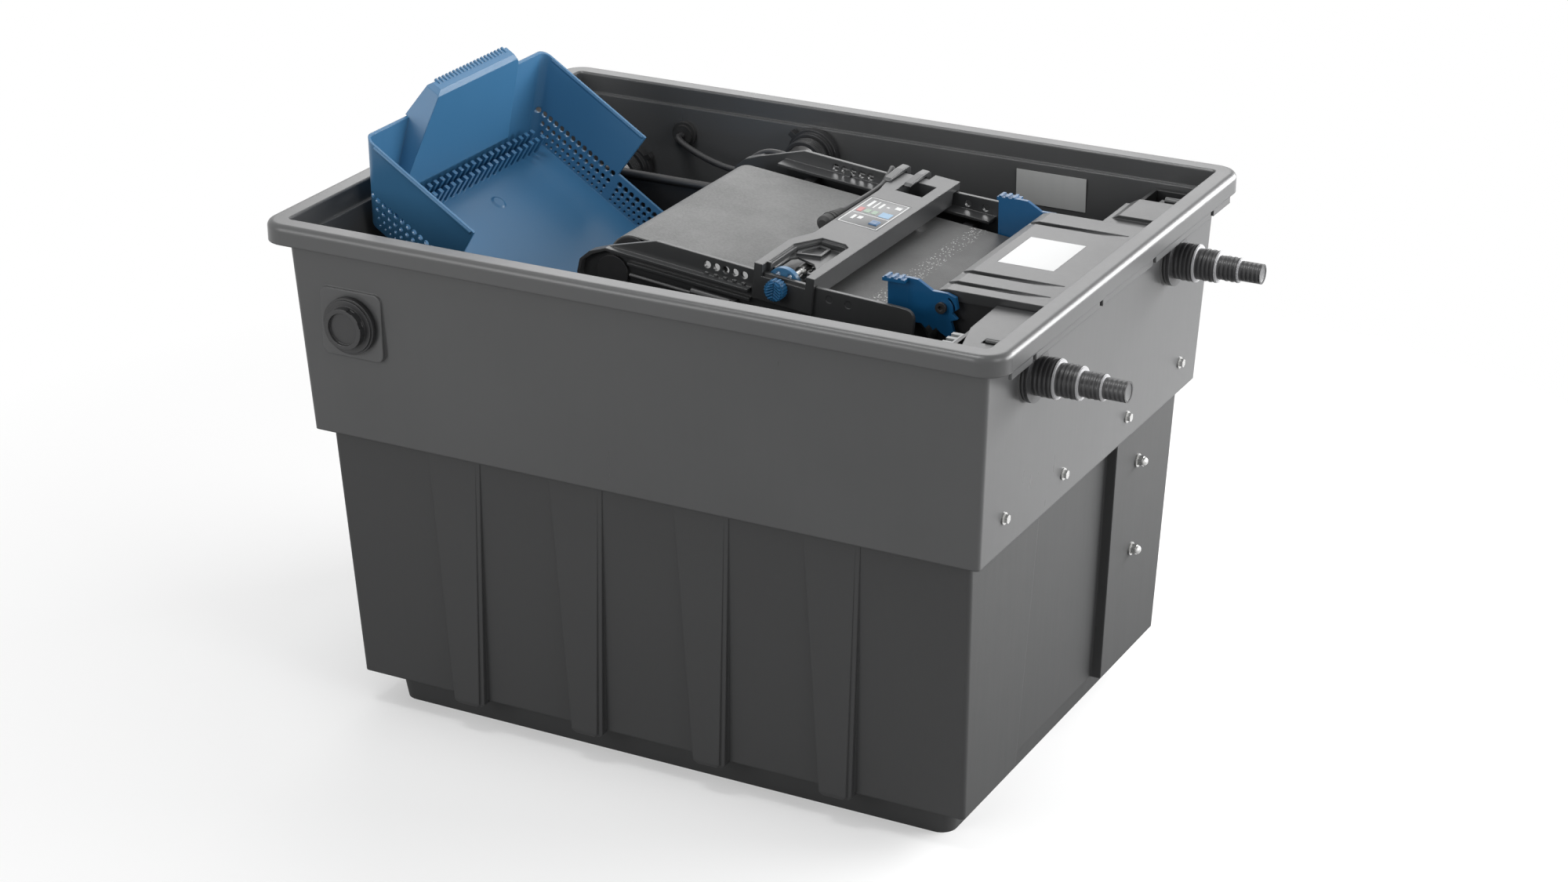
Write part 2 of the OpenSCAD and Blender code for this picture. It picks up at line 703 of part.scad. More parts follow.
// Four straps on the end wall, with a shelf under the inlet box
module box_brackets() {
  strap_w = 24;
  strap_t = 4;
  color(dark_grey)
    for (p = screw_places) {
      z0 = p[1] - 14;
      z1 = box_bot - gap;
      difference() {
        union() {
          xz_sheet([[band(z0)[0] - wall - gap, z0], [band(z1)[0] - wall - gap, z1],
                    [band(z0)[0] - wall - gap - 22, z1], [band(z0)[0] - wall - gap - 22, z1 - strap_t],
                    [band(z0)[0] - wall - gap - strap_t, z1 - strap_t],
                    [band(z0)[0] - wall - gap - strap_t, z0]],
                   p[0] - strap_w / 2, p[0] + strap_w / 2);
          xz_sheet([[band(z0)[0] - wall - gap - strap_t + 1, z1 - 26], [band(z0)[0] - wall - gap - strap_t + 1, z1 - 1],
                    [band(z0)[0] - wall - gap - 22, z1 - 1]], p[0] - 2, p[0] + 2);
        }
        bar_x(screw_d / 2 + 0.2, band(p[1])[0] - 30, band(p[1])[0] + 20, p[0], p[1]);
      }
    }
}

// Flat covers over the trough on each side of the lid
cover_z = box_top + gap;
cover_t = 4;
module cover_front() {
  color(anthracite)
    difference() {
      translate([0, 0, cover_z])
        linear_extrude(cover_t)
          polygon([[box_x0 + 1, -lid_half - 2], [box_x1, -lid_half - 2], [box_x1, -box_half],
                   [box_x0 + 18, -box_half]]);
      block([box_x0 + 34, -213, cover_z - 1], [box_x0 + 50, -203, cover_z + cover_t + 1]);
    }
}
module cover_rear() {
  y0 = lid_half + 2;
  color(anthracite)
    union() {
      block([box_x0 - 4, y0, cover_z], [box_x1, box_half, cover_z + cover_t]);
      xz_sheet([[box_x0 - 4, cover_z + cover_t - 1], [box_x1, cover_z + cover_t - 1],
                [box_x1, cover_z + cover_t + 7], [box_x0 + 6, cover_z + cover_t + 7]], y0 + 22, box_half);
      bar_y(7, y0 + 84, box_half - 2, box_x1 - 12, cover_z + cover_t + 8);
    }
}

// Four pale teeth that hook of the front latch lever can engage
module inlet_comb() {
  pitch = 11;
  color(pale_grey) {
    block([box_x0, -240, cover_z - 6], [box_x0 - 3, -188, cover_z - gap - 1]);
    for (i = [0:3])
      block([box_x0 - 12, -193 - i * pitch, cover_z - 5], [box_x0 - 2, -188 - i * pitch, cover_z - gap - 1]);
  }
}

// Lid over the inlet: three long grooves and a bare label place
lid_x0 = 246;
lid_x1 = box_x1 - 1;
label_place = [300, 7];
label_size = [58, 78];
module inlet_lid() {
  z0 = box_top + gap;
  shell_t = 3;
  groove_w = 9;
  color(anthracite)
    difference() {
      xz_sheet([[lid_x0, z0], [lid_x1, z0], [lid_x1, lid_z], [lid_x0 + 14, lid_z],
                [lid_x0 + 5, lid_z - 2.5], [lid_x0, z0 + 3]], -lid_half, lid_half);
      block([lid_x0 + 8, -lid_half + shell_t, z0 - 1], [lid_x1 - shell_t, lid_half - shell_t, lid_z - shell_t - 2]);
      for (y = [-100, -68, 86])
        xz_sheet([[lid_x0 - 1, lid_z - 3], [lid_x0 + 30, lid_z - 4], [lid_x1 - 8, lid_z - 0.4], [lid_x1 - 8, lid_z + 1],
                  [lid_x0 - 1, lid_z + 1]], y - groove_w / 2, y + groove_w / 2);
      block([label_place[0] - label_size[0] / 2, label_place[1] - label_size[1] / 2, lid_z - 0.4],
            [label_place[0] + label_size[0] / 2, label_place[1] + label_size[1] / 2, lid_z + 1]);
    }
}
module lid_label() {
  color("#f2f3f3")
    translate([label_place[0], label_place[1], lid_z - 0.4])
      block([-label_size[0] / 2 + 0.2, -label_size[1] / 2 + 0.2, 0], [label_size[0] / 2 - 0.2, label_size[1] / 2 - 0.2, 0.5]);
}

// ---- hose adapters, plug, outlets and drain --------------------------------------------------

adapter_seal_t = 2;
// One stepped hose adapter along +X, with three ridges a step; length in steps of hose_step
module adapter(y) {
  flange_t = 5;
  flange_d = 52;
  steps = [hose_d, hose_d - 6, hose_d - 13, hose_d - 18];
  x0 = inlet_face + adapter_seal_t;
  color(black_rubber)
    translate([x0, y, inlet_z])
      rotate([0, 90, 0])
        difference() {
          union() {
            translate([0, 0, -adapter_seal_t - wall - box_t - 26])
              cylinder(d = inlet_neck_d, h = adapter_seal_t + wall + box_t + 27, $fn = 64);
            cylinder(d = flange_d, h = flange_t, $fn = 64);
            for (i = [0:3])
              translate([0, 0, flange_t + i * hose_step]) {
                cylinder(d = steps[i] - (i < 3 ? 1 : 0), h = hose_step, $fn = 64);
                if (i < 3)
                  for (k = [0.35, 0.62, 0.88])
                    translate([0, 0, k * hose_step])
                      cylinder(d = steps[i], h = 1.6, $fn = 64);
              }
          }
          translate([0, 0, -60])
            cylinder(d = hose_bore, h = 300, $fn = 64);
          translate([0, 0, -60])
            cylinder(d = inlet_neck_d - 6, h = 60, $fn = 64);
        }
}
module adapter_front() adapter(inlet_ys[0]);
module adapter_rear() adapter(inlet_ys[1]);
module ring_x(od, id, x0, x1, y, z) {
  difference() {
    bar_x(od / 2, x0, x1, y, z);
    bar_x(id / 2, x0 - 1, x1 + 1, y, z);
  }
}
module ring_y(od, id, y0, y1, x, z) {
  difference() {
    bar_y(od / 2, y0, y1, x, z);
    bar_y(id / 2, y0 - 1, y1 + 1, x, z);
  }
}
module adapter_seals() {
  color("#1d1e1f")
    for (y = inlet_ys)
      ring_x(50, inlet_neck_d + 2 * gap, inlet_face, inlet_face + adapter_seal_t, y, inlet_z);
}
module adapter_nuts() {
  color(dark_grey)
    for (y = inlet_ys)
      difference() {
        translate([box_x1 - box_t - gap - 10, y, inlet_z])
          rotate([0, 90, 0])
            cylinder(d = 46, h = 10, $fn = 6);
        bar_x(inlet_neck_d / 2 + gap / 2, box_x1 - 30, box_x1 + 10, y, inlet_z);
      }
}

// Blind plug: round flange, raised disc with a sunk face and bayonet notches
module blind_plug() {
  y0 = -pad_face - 2;
  color(dark_grey)
    difference() {
      union() {
        bar_y(plug_d / 2, y0 - 4, y0, plug_x, plug_z);
        bar_y(plug_d / 2 - 2, y0 - 6, y0 - 4, plug_x, plug_z);
        bar_y(21, y0 - 14, y0 - 4, plug_x, plug_z);
        bar_y(plug_neck_d / 2, y0 - 1, y0 + 24, plug_x, plug_z);
      }
      bar_y(16.5, y0 - 15, y0 - 11, plug_x, plug_z);
      bar_y(13.5, y0 - 8, y0 + 30, plug_x, plug_z);
      for (a = [20, 65])
        translate([plug_x, y0 - 15, plug_z])
          rotate([0, -a, 0])
            block([20, 0, -3], [26, 7, 3]);
    }
}
module plug_seal() {
  color("#1d1e1f")
    ring_y(plug_d - 4, plug_neck_d + 2 * gap, -pad_face - 2 + 0.02, -pad_face - 0.02, plug_x, plug_z);
}
module plug_nut() {
  y0 = -band(plug_z - 30)[1] + wall + gap;
  color(dark_grey)
    difference() {
      translate([plug_x, y0, plug_z])
        rotate([-90, 0, 0])
          cylinder(d = 54, h = 9, $fn = 6);
      bar_y(plug_neck_d / 2 + gap / 2, y0 - 1, y0 + 10, plug_x, plug_z);
    }
}

// Outlet fittings on the rear wall: flange and hose spigot outside, threaded neck inside
outlet_len = 24;
module outlet(x, z, face, brim) {
  y0 = face + 2;
  color(dark_grey)
    difference() {
      union() {
        bar_y(outlet_d / 2 + brim, y0, y0 + 5, x, z);
        bar_y(outlet_d / 2, y0, y0 + outlet_len, x, z);
        bar_y(outlet_neck_d / 2, y0 - 40, y0 + 1, x, z);
        for (k = [0:3])
          bar_y(outlet_neck_d / 2 + 0.9, y0 - 38 + k * 3.2, y0 - 36.6 + k * 3.2, x, z);
      }
      bar_y(outlet_neck_d / 2 - 4, y0 - 60, y0 + 60, x, z);
    }
}
module outlet_low() outlet(plug_x, plug_z, pad_face, 9);
// The high one has a narrower flange, which stays clear under the rim
module outlet_high() outlet(high_x, high_z, high_face, 4);
module outlet_seals() {
  color("#1d1e1f") {
    ring_y(outlet_d + 14, outlet_neck_d + 2 * gap, pad_face + 0.02, pad_face + 1.98, plug_x, plug_z);
    ring_y(outlet_d + 8, outlet_neck_d + 2 * gap, high_face + 0.02, high_face + 1.98, high_x, high_z);
  }
}

// Round lock nuts with a grip tab, seen inside the tank
module outlet_nut(x, z, y1, tab) {
  nut_d = 58;
  nut_t = 13;
  difference() {
    union() {
      bar_y(nut_d / 2, y1 - nut_t + 5, y1, x, z);
      bar_y(nut_d / 2 - 3.5, y1 - nut_t, y1, x, z);
      translate([x, y1 - 8, z])
        rotate([0, -tab, 0])
          block([nut_d / 2 - 2, 0, -3], [nut_d / 2 + 6, 8, 3]);
    }
    bar_y(outlet_neck_d / 2 + 0.15, y1 - 40, y1 + 1, x, z);
  }
}
module outlet_nuts() {
  color(dark_grey) {
    outlet_nut(plug_x, plug_z, band(plug_z - 29)[1] - wall - gap, 35);
    outlet_nut(high_x, high_z, band(high_z - 29)[1] - wall - gap, 140);
  }
}

// Drain at the other end, low down: threaded neck with a screw cap
module drain_neck() {
  color(dark_grey)
    difference() {
      union() {
        bar_x(drain_d / 2, -drain_face - 22, -drain_face + 14, 0, drain_z);
        bar_x(drain_d / 2 + 5, -drain_face + wall + 5, -drain_face + wall + 9, 0, drain_z);
        bar_x(drain_d / 2 + 6, -drain_face - 4, -drain_face - gap, 0, drain_z);
      }
      bar_x(drain_d / 2 - 4, -drain_face - 60, -drain_face + 60, 0, drain_z);
    }
}
module drain_cap() {
  cap_r = drain_d / 2 + 4;
  x1 = -drain_face - 5;
  color(black_rubber)
    difference() {
      union() {
        bar_x(cap_r, x1 - 21, x1, 0, drain_z);
        for (i = [0:11])
          translate([x1 - 21, 0, drain_z])
            rotate([30 * i, 0, 0])
              block([0, cap_r - 1, -3], [20, cap_r + 2, 3]);
      }
      bar_x(drain_d / 2 + gap, x1 - 18, x1 + 1, 0, drain_z);
    }
}

// ---- fasteners, grommet and plate ------------------------------------------------------------

// Hex screws that hold the brackets
module bracket_screws() {
  head_d = 9;
  color(steel)
    for (p = screw_places) {
      x = band(p[1] + 5)[0];
      bar_x(screw_d / 2, x - wall - 9, x + 1, p[0], p[1]);
      bar_x(6, x, x + 1, p[0], p[1]);
      translate([x + 1, p[0], p[1]])
        rotate([0, 90, 0])
          cylinder(d = head_d, h = 3.6, $fn = 6);
    }
}
// Studs with acorn nuts that hold the partition's flange
module stud_nuts() {
  color(steel)
    for (z = stud_zs) {
      x = low(z + 7)[0];
      bar_x(stud_d / 2, x - wall - 12, x + 6, stud_y, z);
      bar_x(7, x, x + 1.2, stud_y, z);
      translate([x + 1.2, stud_y, z])
        rotate([0, 90, 0]) {
          cylinder(d = 11.5, h = 5.5, $fn = 6);
          translate([0, 0, 5.5])
            sphere(d = 9, $fn = 24);
        }
    }
}
grommet_y = band(grommet_z)[1];
module cable_grommet() {
  inner = grommet_y - wall;
  color(black_rubber)
    difference() {
      union() {
        bar_y(14, inner - 5, inner - 3 * gap, grommet_x, grommet_z);
        bar_y(11, inner - 8, inner - 4, grommet_x, grommet_z);
        bar_y(grommet_hole_d / 2 - 0.1, inner - 5, grommet_y + 2, grommet_x, grommet_z);
        bar_y(13, grommet_y + 3 * gap, grommet_y + 4, grommet_x, grommet_z);
      }
      bar_y(cable_d / 2 + 0.02, inner - 20, grommet_y + 20, grommet_x, grommet_z);
    }
}
plate_x = 196;
plate_size = [78, 36];
plate_z = 488;
module rating_plate() {
  y = band(plate_z + plate_size[1] / 2)[1] - wall;
  color(pale_grey)
    xz_sheet([[plate_x - plate_size[0] / 2, plate_z - plate_size[1] / 2],
              [plate_x + plate_size[0] / 2, plate_z - plate_size[1] / 2],
              [plate_x + plate_size[0] / 2, plate_z + plate_size[1] / 2],
              [plate_x - plate_size[0] / 2, plate_z + plate_size[1] / 2]], y - 2.4, y - 1.9);
}

// ---- belt unit ------------------------------------------------------------------------------

// The unit is drawn level about its head drum's axis, u along the belt and w up, then tilted
drum = [-77, 492];
module unit() {
  translate([drum[0], 0, drum[1]])
    rotate([0, belt_tilt, 0])
      children();
}
drum_r = belt_r - belt_t - 0.4;
axle_d = 10;
run_gap = 0.05;                    // radial running clearance of axles and shaft
frame_y = 151;                     // inner face of the side frames
frame_end = 318;
ledge_y = 116;                     // ledges over the belt's edges
ledge_w = 26.2;
ledge_u = [22, 262];
shaft_u = 178;
shaft_w = belt_r + pinion_r + gap;
bridge_top = 52;

module side_outline() {
  polygon(concat([[-24, -24], [-33, -18], [-37, -8], [-35, 6], [-25, 16.5], [-7.5, 24.4], [43, frame_up]],
                 [[216, frame_up]], [[300, frame_up + 4]],
                 arc(frame_end - 10, frame_up - 6, 10, 90, 0, 5), [[frame_end, -20], [300, -24]]));
}

// One side frame at positive y: upright plate, ledge over the belt's edge and outer ridges
module side_frame(hole_u) {
  y1 = frame_y + frame_t;
  difference() {
    union() {
      unit() {
        translate([0, y1, 0])
          rotate([90, 0, 0])
            linear_extrude(frame_t)
              side_outline();
        block([ledge_u[0], ledge_y, ledge_w], [ledge_u[1], frame_y + 1, ledge_w + 3]);
        block([ledge_u[0], ledge_y + 10, ledge_w + 2], [ledge_u[1], ledge_y + 12, ledge_w + 4.5]);
        // nose lip and the two ridges along the outside
        xz_sheet([[-24, -24], [-33, -18], [-37, -8], [-35, 6], [-25, 16.5], [-7.5, 24.4], [148, 24.4],
                  [148, 21.4], [-7.5, 21.4], [-22, 14], [-32, 5], [-34, -7.5], [-31, -16], [-23, -21]],
                 y1 - 1, y1 + 7);
        block([16, y1 - 1, 12], [214, y1 + 5, 15]);
        for (i = [0:hole_count - 1])
          block([hole_u + i * 10 - 2, y1 - 1, frame_up - 18], [hole_u + i * 10 + 2, y1 + 1.2, frame_up - 16]);
        bar_y(4, frame_y - 2, frame_y + 1, hole_u + 15, 24 + 8);
      }
      block([12, frame_y, 450 + gap], [32, y1, 474]);
      block([arm_x0 + 3, frame_y, arm_z], [arm_x0 + 15, y1, 450]);
    }
    unit() {
      bar_y(axle_d / 2 + run_gap, frame_y - 1, y1 + 10, 0, 0);
      bar_y(axle_d / 2 + run_gap, frame_y - 1, y1 + 10, belt_c, 0);
      for (i = [0:hole_count - 1])
        bar_y(hole_d / 2, frame_y - 1, y1 + 1, hole_u + i * 10, frame_up - 8.5);
      for (u = [230, 250])
        bar_y(hole_d / 2, frame_y - 1, y1 + 1, u, frame_up - 8);
    }
  }
}
module side_frame_rear() {
  color(dark_grey)
    side_frame(80);
}
module side_frame_front() {
  color(dark_grey)
    difference() {
      mirror([0, 1, 0])
        side_frame(100);
      unit() {
        bar_y(shaft_d / 2 + run_gap, -frame_y - frame_t - 10, -frame_y + 1, shaft_u, shaft_w);
        bar_y(shaft_d / 2 + 0.5, -frame_y, -ledge_y + 1, shaft_u, shaft_w);
        block([shaft_u - 20, -frame_y + 0.4, ledge_w - 2], [shaft_u + 20, -frame_y + 13, ledge_w + 6]);
        // seat of the drive housing's outer cheek
        block([150 - gap, -frame_y - frame_t - 9, 10], [214 + gap, -frame_y - frame_t - 0, 30]);
      }
    }
}

// Cross bars and slats between the frames that carry the belt's upper run
module belt_slats() {
  top = belt_r - belt_t - 0.4;
  color(dark_grey)
    unit() {
      for (u = [60, 150, 240])
        block([u - 5, -frame_y + gap, top - 9], [u + 5, frame_y - gap, top - 3]);
      for (i = [-4:4])
        block([32, i * 25 - 3, top - 3.5], [belt_c - 32, i * 25 + 3, top]);
    }
}

module screen_belt() {
  color(mesh_grey)
    unit()
      difference() {
        union() {
          bar_y(belt_r, -belt_w / 2, belt_w / 2, 0, 0);
          bar_y(belt_r, -belt_w / 2, belt_w / 2, belt_c, 0);
          block([0, -belt_w / 2, -belt_r], [belt_c, belt_w / 2, belt_r]);
        }
        bar_y(belt_r - belt_t, -belt_w, belt_w, 0, 0);
        bar_y(belt_r - belt_t, -belt_w, belt_w, belt_c, 0);
        block([0, -belt_w, -belt_r + belt_t], [belt_c, belt_w, belt_r - belt_t]);
      }
}

module roller(u, cap_r) {
  color(dark_grey)
    unit() {
      bar_y(drum_r, -belt_w / 2, belt_w / 2, u, 0);
      bar_y(axle_d / 2, -frame_y - frame_t - 2, frame_y + frame_t + 2, u, 0);
      for (s = [-1, 1])
        bar_y(cap_r, s > 0 ? frame_y + frame_t + 0.6 : -frame_y - frame_t - 3.6,
              s > 0 ? frame_y + frame_t + 3.6 : -frame_y - frame_t - 0.6, u, 0);
    }
}
module head_drum() roller(0, 17.4);
module tail_roller() roller(belt_c, 9);

// Tension rods under the outer ridges: a thin rod with a thicker spring barrel
module tension_rods() {
  y = frame_y + frame_t + 4.5;
  color(dark_grey)
    unit()
      for (s = [-1, 1])
        translate([0, s * y, 0]) {
          bar_x(2.2, 20, 90, 0, 3);
          bar_x(4.2, 88, 136, 0, 5);
          block([130, -s * 4.5, 1], [136, s * 3, 9]);
        }
}

// Wiper that strips the dirt off the belt into the tray, under the head drum
module belt_scraper() {
  color(dark_grey)
    unit()
      difference() {
        union() {
          xz_sheet([[6, -belt_r - 14], [10, -belt_r - 14], [10, -belt_r - 4], [-4, -belt_r - gap - 0.4],
                    [-6, -belt_r - gap - 1.2], [6, -belt_r - 5]], -belt_w / 2, belt_w / 2);
          for (s = [-1, 1])
            block([2, s * (belt_w / 2 - 1), -belt_r - 14], [14, s * (frame_y - gap), -belt_r - 8]);
          for (s = [-1, 1])
            block([2, s * (frame_y - gap - 4), -belt_r - 14], [14, s * (frame_y - gap), -10]);
        }
      }
}

// Motor and control housing that bridges the belt
house_u = [151, 214.5];            // left and right side at the near end
house_left = 160;                  // left side of the slimmer beam
house_y = [-163, 144];
module house_outline() {
  polygon([[house_u[0], house_y[0]], [house_u[1], house_y[0]], [house_u[1] + 1, house_y[1]],
           [house_left - 3, house_y[1]], [house_left - 3, 108], [house_left + 1, 84], [house_left + 1, -56],
           [house_u[0] - 1, -86], [house_u[0], -140]]);
}
module drive_housing() {
  w0 = ledge_w + 4.8;
  t = 3;
  slot_in = frame_y - gap;
  slot_out = frame_y + frame_t + gap;
  open_u = [house_u[0] + 13, house_u[1] - 13];
  color(anthracite)
    unit()
      difference() {
        union() {
          translate([0, 0, w0])
            linear_extrude(bridge_top - w0)
              house_outline();
          // outer cheek beside the near side frame
          block([house_u[0], house_y[0], 16], [house_u[1], -slot_out, bridge_top - 2]);
        }
        // hollow inside, open underneath
        block([house_left + 4, -56, w0 - 1], [house_u[1] - t, 104, bridge_top - t]);
        block([house_left + 4, 112, w0 - 1], [house_u[1] - t, house_y[1] - t, bridge_top - t]);
        block([house_u[0] + t, -120, w0 - 1], [house_u[1] - t, -60, bridge_top - t]);
        block([house_u[0] + t, -slot_in, w0 - 1], [house_u[1] - t, -124, bridge_top - t]);
        // slot over the side frame
        block([house_u[0] - 9, -slot_out, w0 - 1], [house_u[1] + 9, -slot_in, frame_up + gap]);
        // open fork between the two posts, with a slanted inner end
        translate([0, 0, bridge_top - 9])
          linear_extrude(60)
            polygon([[open_u[0], house_y[0] + 12], [open_u[0], -96], [open_u[0] + 10, -66],
                     [open_u[1] - 1, -68], [open_u[1], house_y[0] + 12]]);
        block([open_u[0], -frame_y - frame_t - 20, bridge_top - 12], [open_u[1], -frame_y + 40, bridge_top + 1]);
        // window near the far end
        block([house_left + 14, 95, bridge_top - 9], [house_u[1] - 10, 122, bridge_top + 1]);
        // seat of the control panel and the button's hole
        block([panel_u[0], panel_y[0], bridge_top - panel_t], [panel_u[1], panel_y[1], bridge_top + 1]);
        block([button_u - button_size[0] / 2 - gap, button_y - button_size[1] / 2 - gap, bridge_top - 12],
              [button_u + button_size[0] / 2 + gap, button_y + button_size[1] / 2 + gap, bridge_top]);
        bar_y(shaft_d / 2 + run_gap, house_y[0] - 1, 200, shaft_u, shaft_w);
        // space for the wheel and the pinions
        bar_y(19, -frame_y + 1, -frame_y + 12, shaft_u, shaft_w);
      }
}

panel_u = [162.5, 207.5];
panel_y = [-14, 64];
panel_t = 0.6;
button_u = 197;
button_y = 2;
button_size = [9, 11];
module control_panel() {
  c = 0.15;
  color("#6a6d6f")
    unit()
      difference() {
        block([panel_u[0] + c, panel_y[0] + c, bridge_top - panel_t + 0.02], [panel_u[1] - c, panel_y[1] - c, bridge_top + 0.1]);
        block([button_u - button_size[0] / 2 - gap, button_y - button_size[1] / 2 - gap, bridge_top - 2],
              [button_u + button_size[0] / 2 + gap, button_y + button_size[1] / 2 + gap, bridge_top + 2]);
      }
}
module push_button() {
  color(tray_blue)
    unit()
      block([button_u - button_size[0] / 2, button_y - button_size[1] / 2, bridge_top - 6],
            [button_u + button_size[0] / 2, button_y + button_size[1] / 2, bridge_top + 1.6]);
}

// Geared motor round the shaft, hung under the housing's roof
module gear_motor() {
  roof = bridge_top - 3 - gap;
  color(dark_grey)
    unit()
      difference() {
        union() {
          block([house_left + 6, 20, belt_r + 3.5], [house_u[1] - 5, 80, roof - 6]);
          block([house_left + 6, 24, roof - 7], [house_u[1] - 5, 34, roof]);
          block([house_left + 6, 66, roof - 7], [house_u[1] - 5, 76, roof]);
          bar_y(6.5, -46, 21, house_u[1] - 13, belt_r + 8.5);
        }
        bar_y(shaft_d / 2 + run_gap, -100, 100, shaft_u, shaft_w);
      }
}

module drive_shaft() {
  color(steel)
    unit() {
      bar_y(shaft_d / 2, house_y[0] - 10, ledge_y - 2, shaft_u, shaft_w);
      for (y = [-112, -40, 88])
        bar_y(pinion_r, y, y + 12, shaft_u, shaft_w);
    }
}
// Hand knob with slanted grip teeth and a wing across its face
knob_y = house_y[0] - gap;
module hand_knob() {
  n = 18;
  len = 13;
  color(tray_blue)
    unit()
      translate([shaft_u, knob_y, shaft_w])
        rotate([90, 0, 0])
          difference() {
            union() {
              cylinder(d = knob_d - 2, h = len, $fn = 48);
              for (i = [0:n - 1])
                rotate([0, 0, i * 360 / n])
                  translate([knob_d / 2 - 1.6, -0.9, 1])
                    cube([1.6, 1.8, len - 2]);
              translate([-knob_d / 2 + 3, -2, len - 1])
                cube([knob_d - 6, 4, 4]);
            }
            translate([0, 0, -1])
              cylinder(d = shaft_d + 0.02, h = 11, $fn = 48);
          }
}
module hand_wheel() {
  color(tray_blue)
    unit()
      difference() {
        union() {
          bar_y(17, -frame_y + 2, -frame_y + 8, shaft_u, shaft_w);
          bar_y(7, -frame_y + 1.6, -frame_y + 11, shaft_u, shaft_w);
        }
        bar_y(shaft_d / 2 + 0.01, -frame_y, -frame_y + 20, shaft_u, shaft_w);
        for (i = [0:5])
          translate([shaft_u, -frame_y, shaft_w])
            rotate([0, 60 * i, 0])
              translate([12, 0, 0])
                rotate([-90, 0, 0])
                  cylinder(r = 2.4, h = 20, $fn = 32);
      }
}

// Two hooks on the housing's far end that grip the rear side frame
module frame_clips() {
  y1 = frame_y + frame_t;
  color(anthracite)
    unit()
      for (u = [155.5, 177.5])
        yz_sheet([[116, bridge_top + gap], [122, bridge_top + 5], [146, bridge_top + 9], [y1 + 9, bridge_top + 7],
                  [y1 + 12, bridge_top], [y1 + 8, bridge_top - 8], [y1 + 6, frame_up - 13], [y1 + 1.5, frame_up - 13],
                  [y1 + 1.2, frame_up + 0.6], [frame_y - 3, frame_up + 0.6], [frame_y - 5, bridge_top + gap]], u - 4, u + 5);
}

// Cable gland beside the housing: ribbed cone on a small arm
gland_u = 149;
gland_w = 43;
gland_y = [-14, 28];
module cable_gland() {
  color(black_rubber)
    unit()
      difference() {
        union() {
          translate([gland_u, gland_y[0] + 12, gland_w])
            rotate([-90, 0, 0])
              cylinder(r1 = 8, r2 = 4.8, h = gland_y[1] - gland_y[0] - 12, $fn = 48);
          bar_y(8, gland_y[0] + 4, gland_y[0] + 12, gland_u, gland_w);
          translate([gland_u, gland_y[0], gland_w])
            rotate([-90, 0, 0])
              cylinder(r1 = 5, r2 = 8, h = 4, $fn = 48);
          for (k = [0:3])
            bar_y(8.4 - k * 0.9, gland_y[0] + 14 + k * 6, gland_y[0] + 16 + k * 6, gland_u, gland_w);
          block([gland_u, gland_y[0] + 5, gland_w - 4], [house_left + 0.7, gland_y[0] + 11, gland_w + 4]);
        }
        bar_y(cable_d / 2 + 0.02, gland_y[1] - 14, gland_y[1] + 10, gland_u, gland_w);
      }
}

// Cross beam in the tank on which the unit's feet stand
module unit_beam() {
  half_f = band(415)[1] - wall - gap;
  half_r = part_y - part_t / 2 - gap;
  color(dark_grey) {
    block([10, -half_f, 440], [34, half_r, 450]);
    block([0, -half_f, 415], [44, -half_f + 4, 450]);
    block([0, half_r - 4, 415], [44, half_r, 450]);
  }
}

// ---- latch levers ---------------------------------------------------------------------------

lever_in = lid_half + 2;           // inner face of the levers
module lever_outline() {
  difference() {
    polygon(concat([[202, 484], [202, 526], [224, 527], [233, 526.5], [248, 518], [263, 518]],
                   [[272, 515], [274, 504], [268, 499], [274, 494], [267, 491], [273, 474], [268, 472], [257, 478],
                    [252, 482], [249, 479], [245, 484], [241, 480], [237, 484]]));
    polygon(concat(arc(pivot[0] + 4, pivot[1] - 1, 13.5, 60, -20, 6), arc(pivot[0] + 4, pivot[1] - 1, 11.5, -20, 60, 6)));
  }
}
module latch_lever(s) {
  y0 = s > 0 ? lever_in : -lever_in - lever_t;
  color(lever_blue)
    difference() {
      union() {
        translate([0, y0 + lever_t, 0])
          rotate([90, 0, 0])
            linear_extrude(lever_t)
              lever_outline();
        // ribbed thumb ledge
        block([200, y0, 523], [223, y0 + (s > 0 ? lever_t + 8 : -8), 526.5]);
        for (i = [0:2])
          block([202 + i * 7, y0 + (s > 0 ? 0 : lever_t), 526], [205 + i * 7, y0 + (s > 0 ? lever_t + 8 : -8), 528]);
      }
      bar_y(pin_d / 2 + run_gap, y0 - 1, y0 + lever_t + 1, pivot[0] + 4, pivot[1]);
    }
}
module latch_lever_front() latch_lever(-1);
module latch_lever_rear() latch_lever(1);

// Headed pins that the levers turn on, held in the inlet box's side walls
module lever_pins() {
  y_head = lever_in + lever_t + 0.6;
  color(black_rubber)
    for (s = [-1, 1])
      translate([pivot[0] + 4, 0, pivot[1]])
        rotate([s > 0 ? -90 : 90, 0, 0])
          difference() {
            union() {
              translate([0, 0, centre_half - box_t + 0.5])
                cylinder(d = pin_d, h = y_head - centre_half + box_t, $fn = 48);
              translate([0, 0, y_head])
                cylinder(d = pin_d + 4, h = 3, $fn = 48);
            }
            translate([0, 0, y_head + 1])
              cylinder(d = 5, h = 4, $fn = 6);
          }
}

// ---- supply cable ---------------------------------------------------------------------------

cable_r = cable_d / 2;
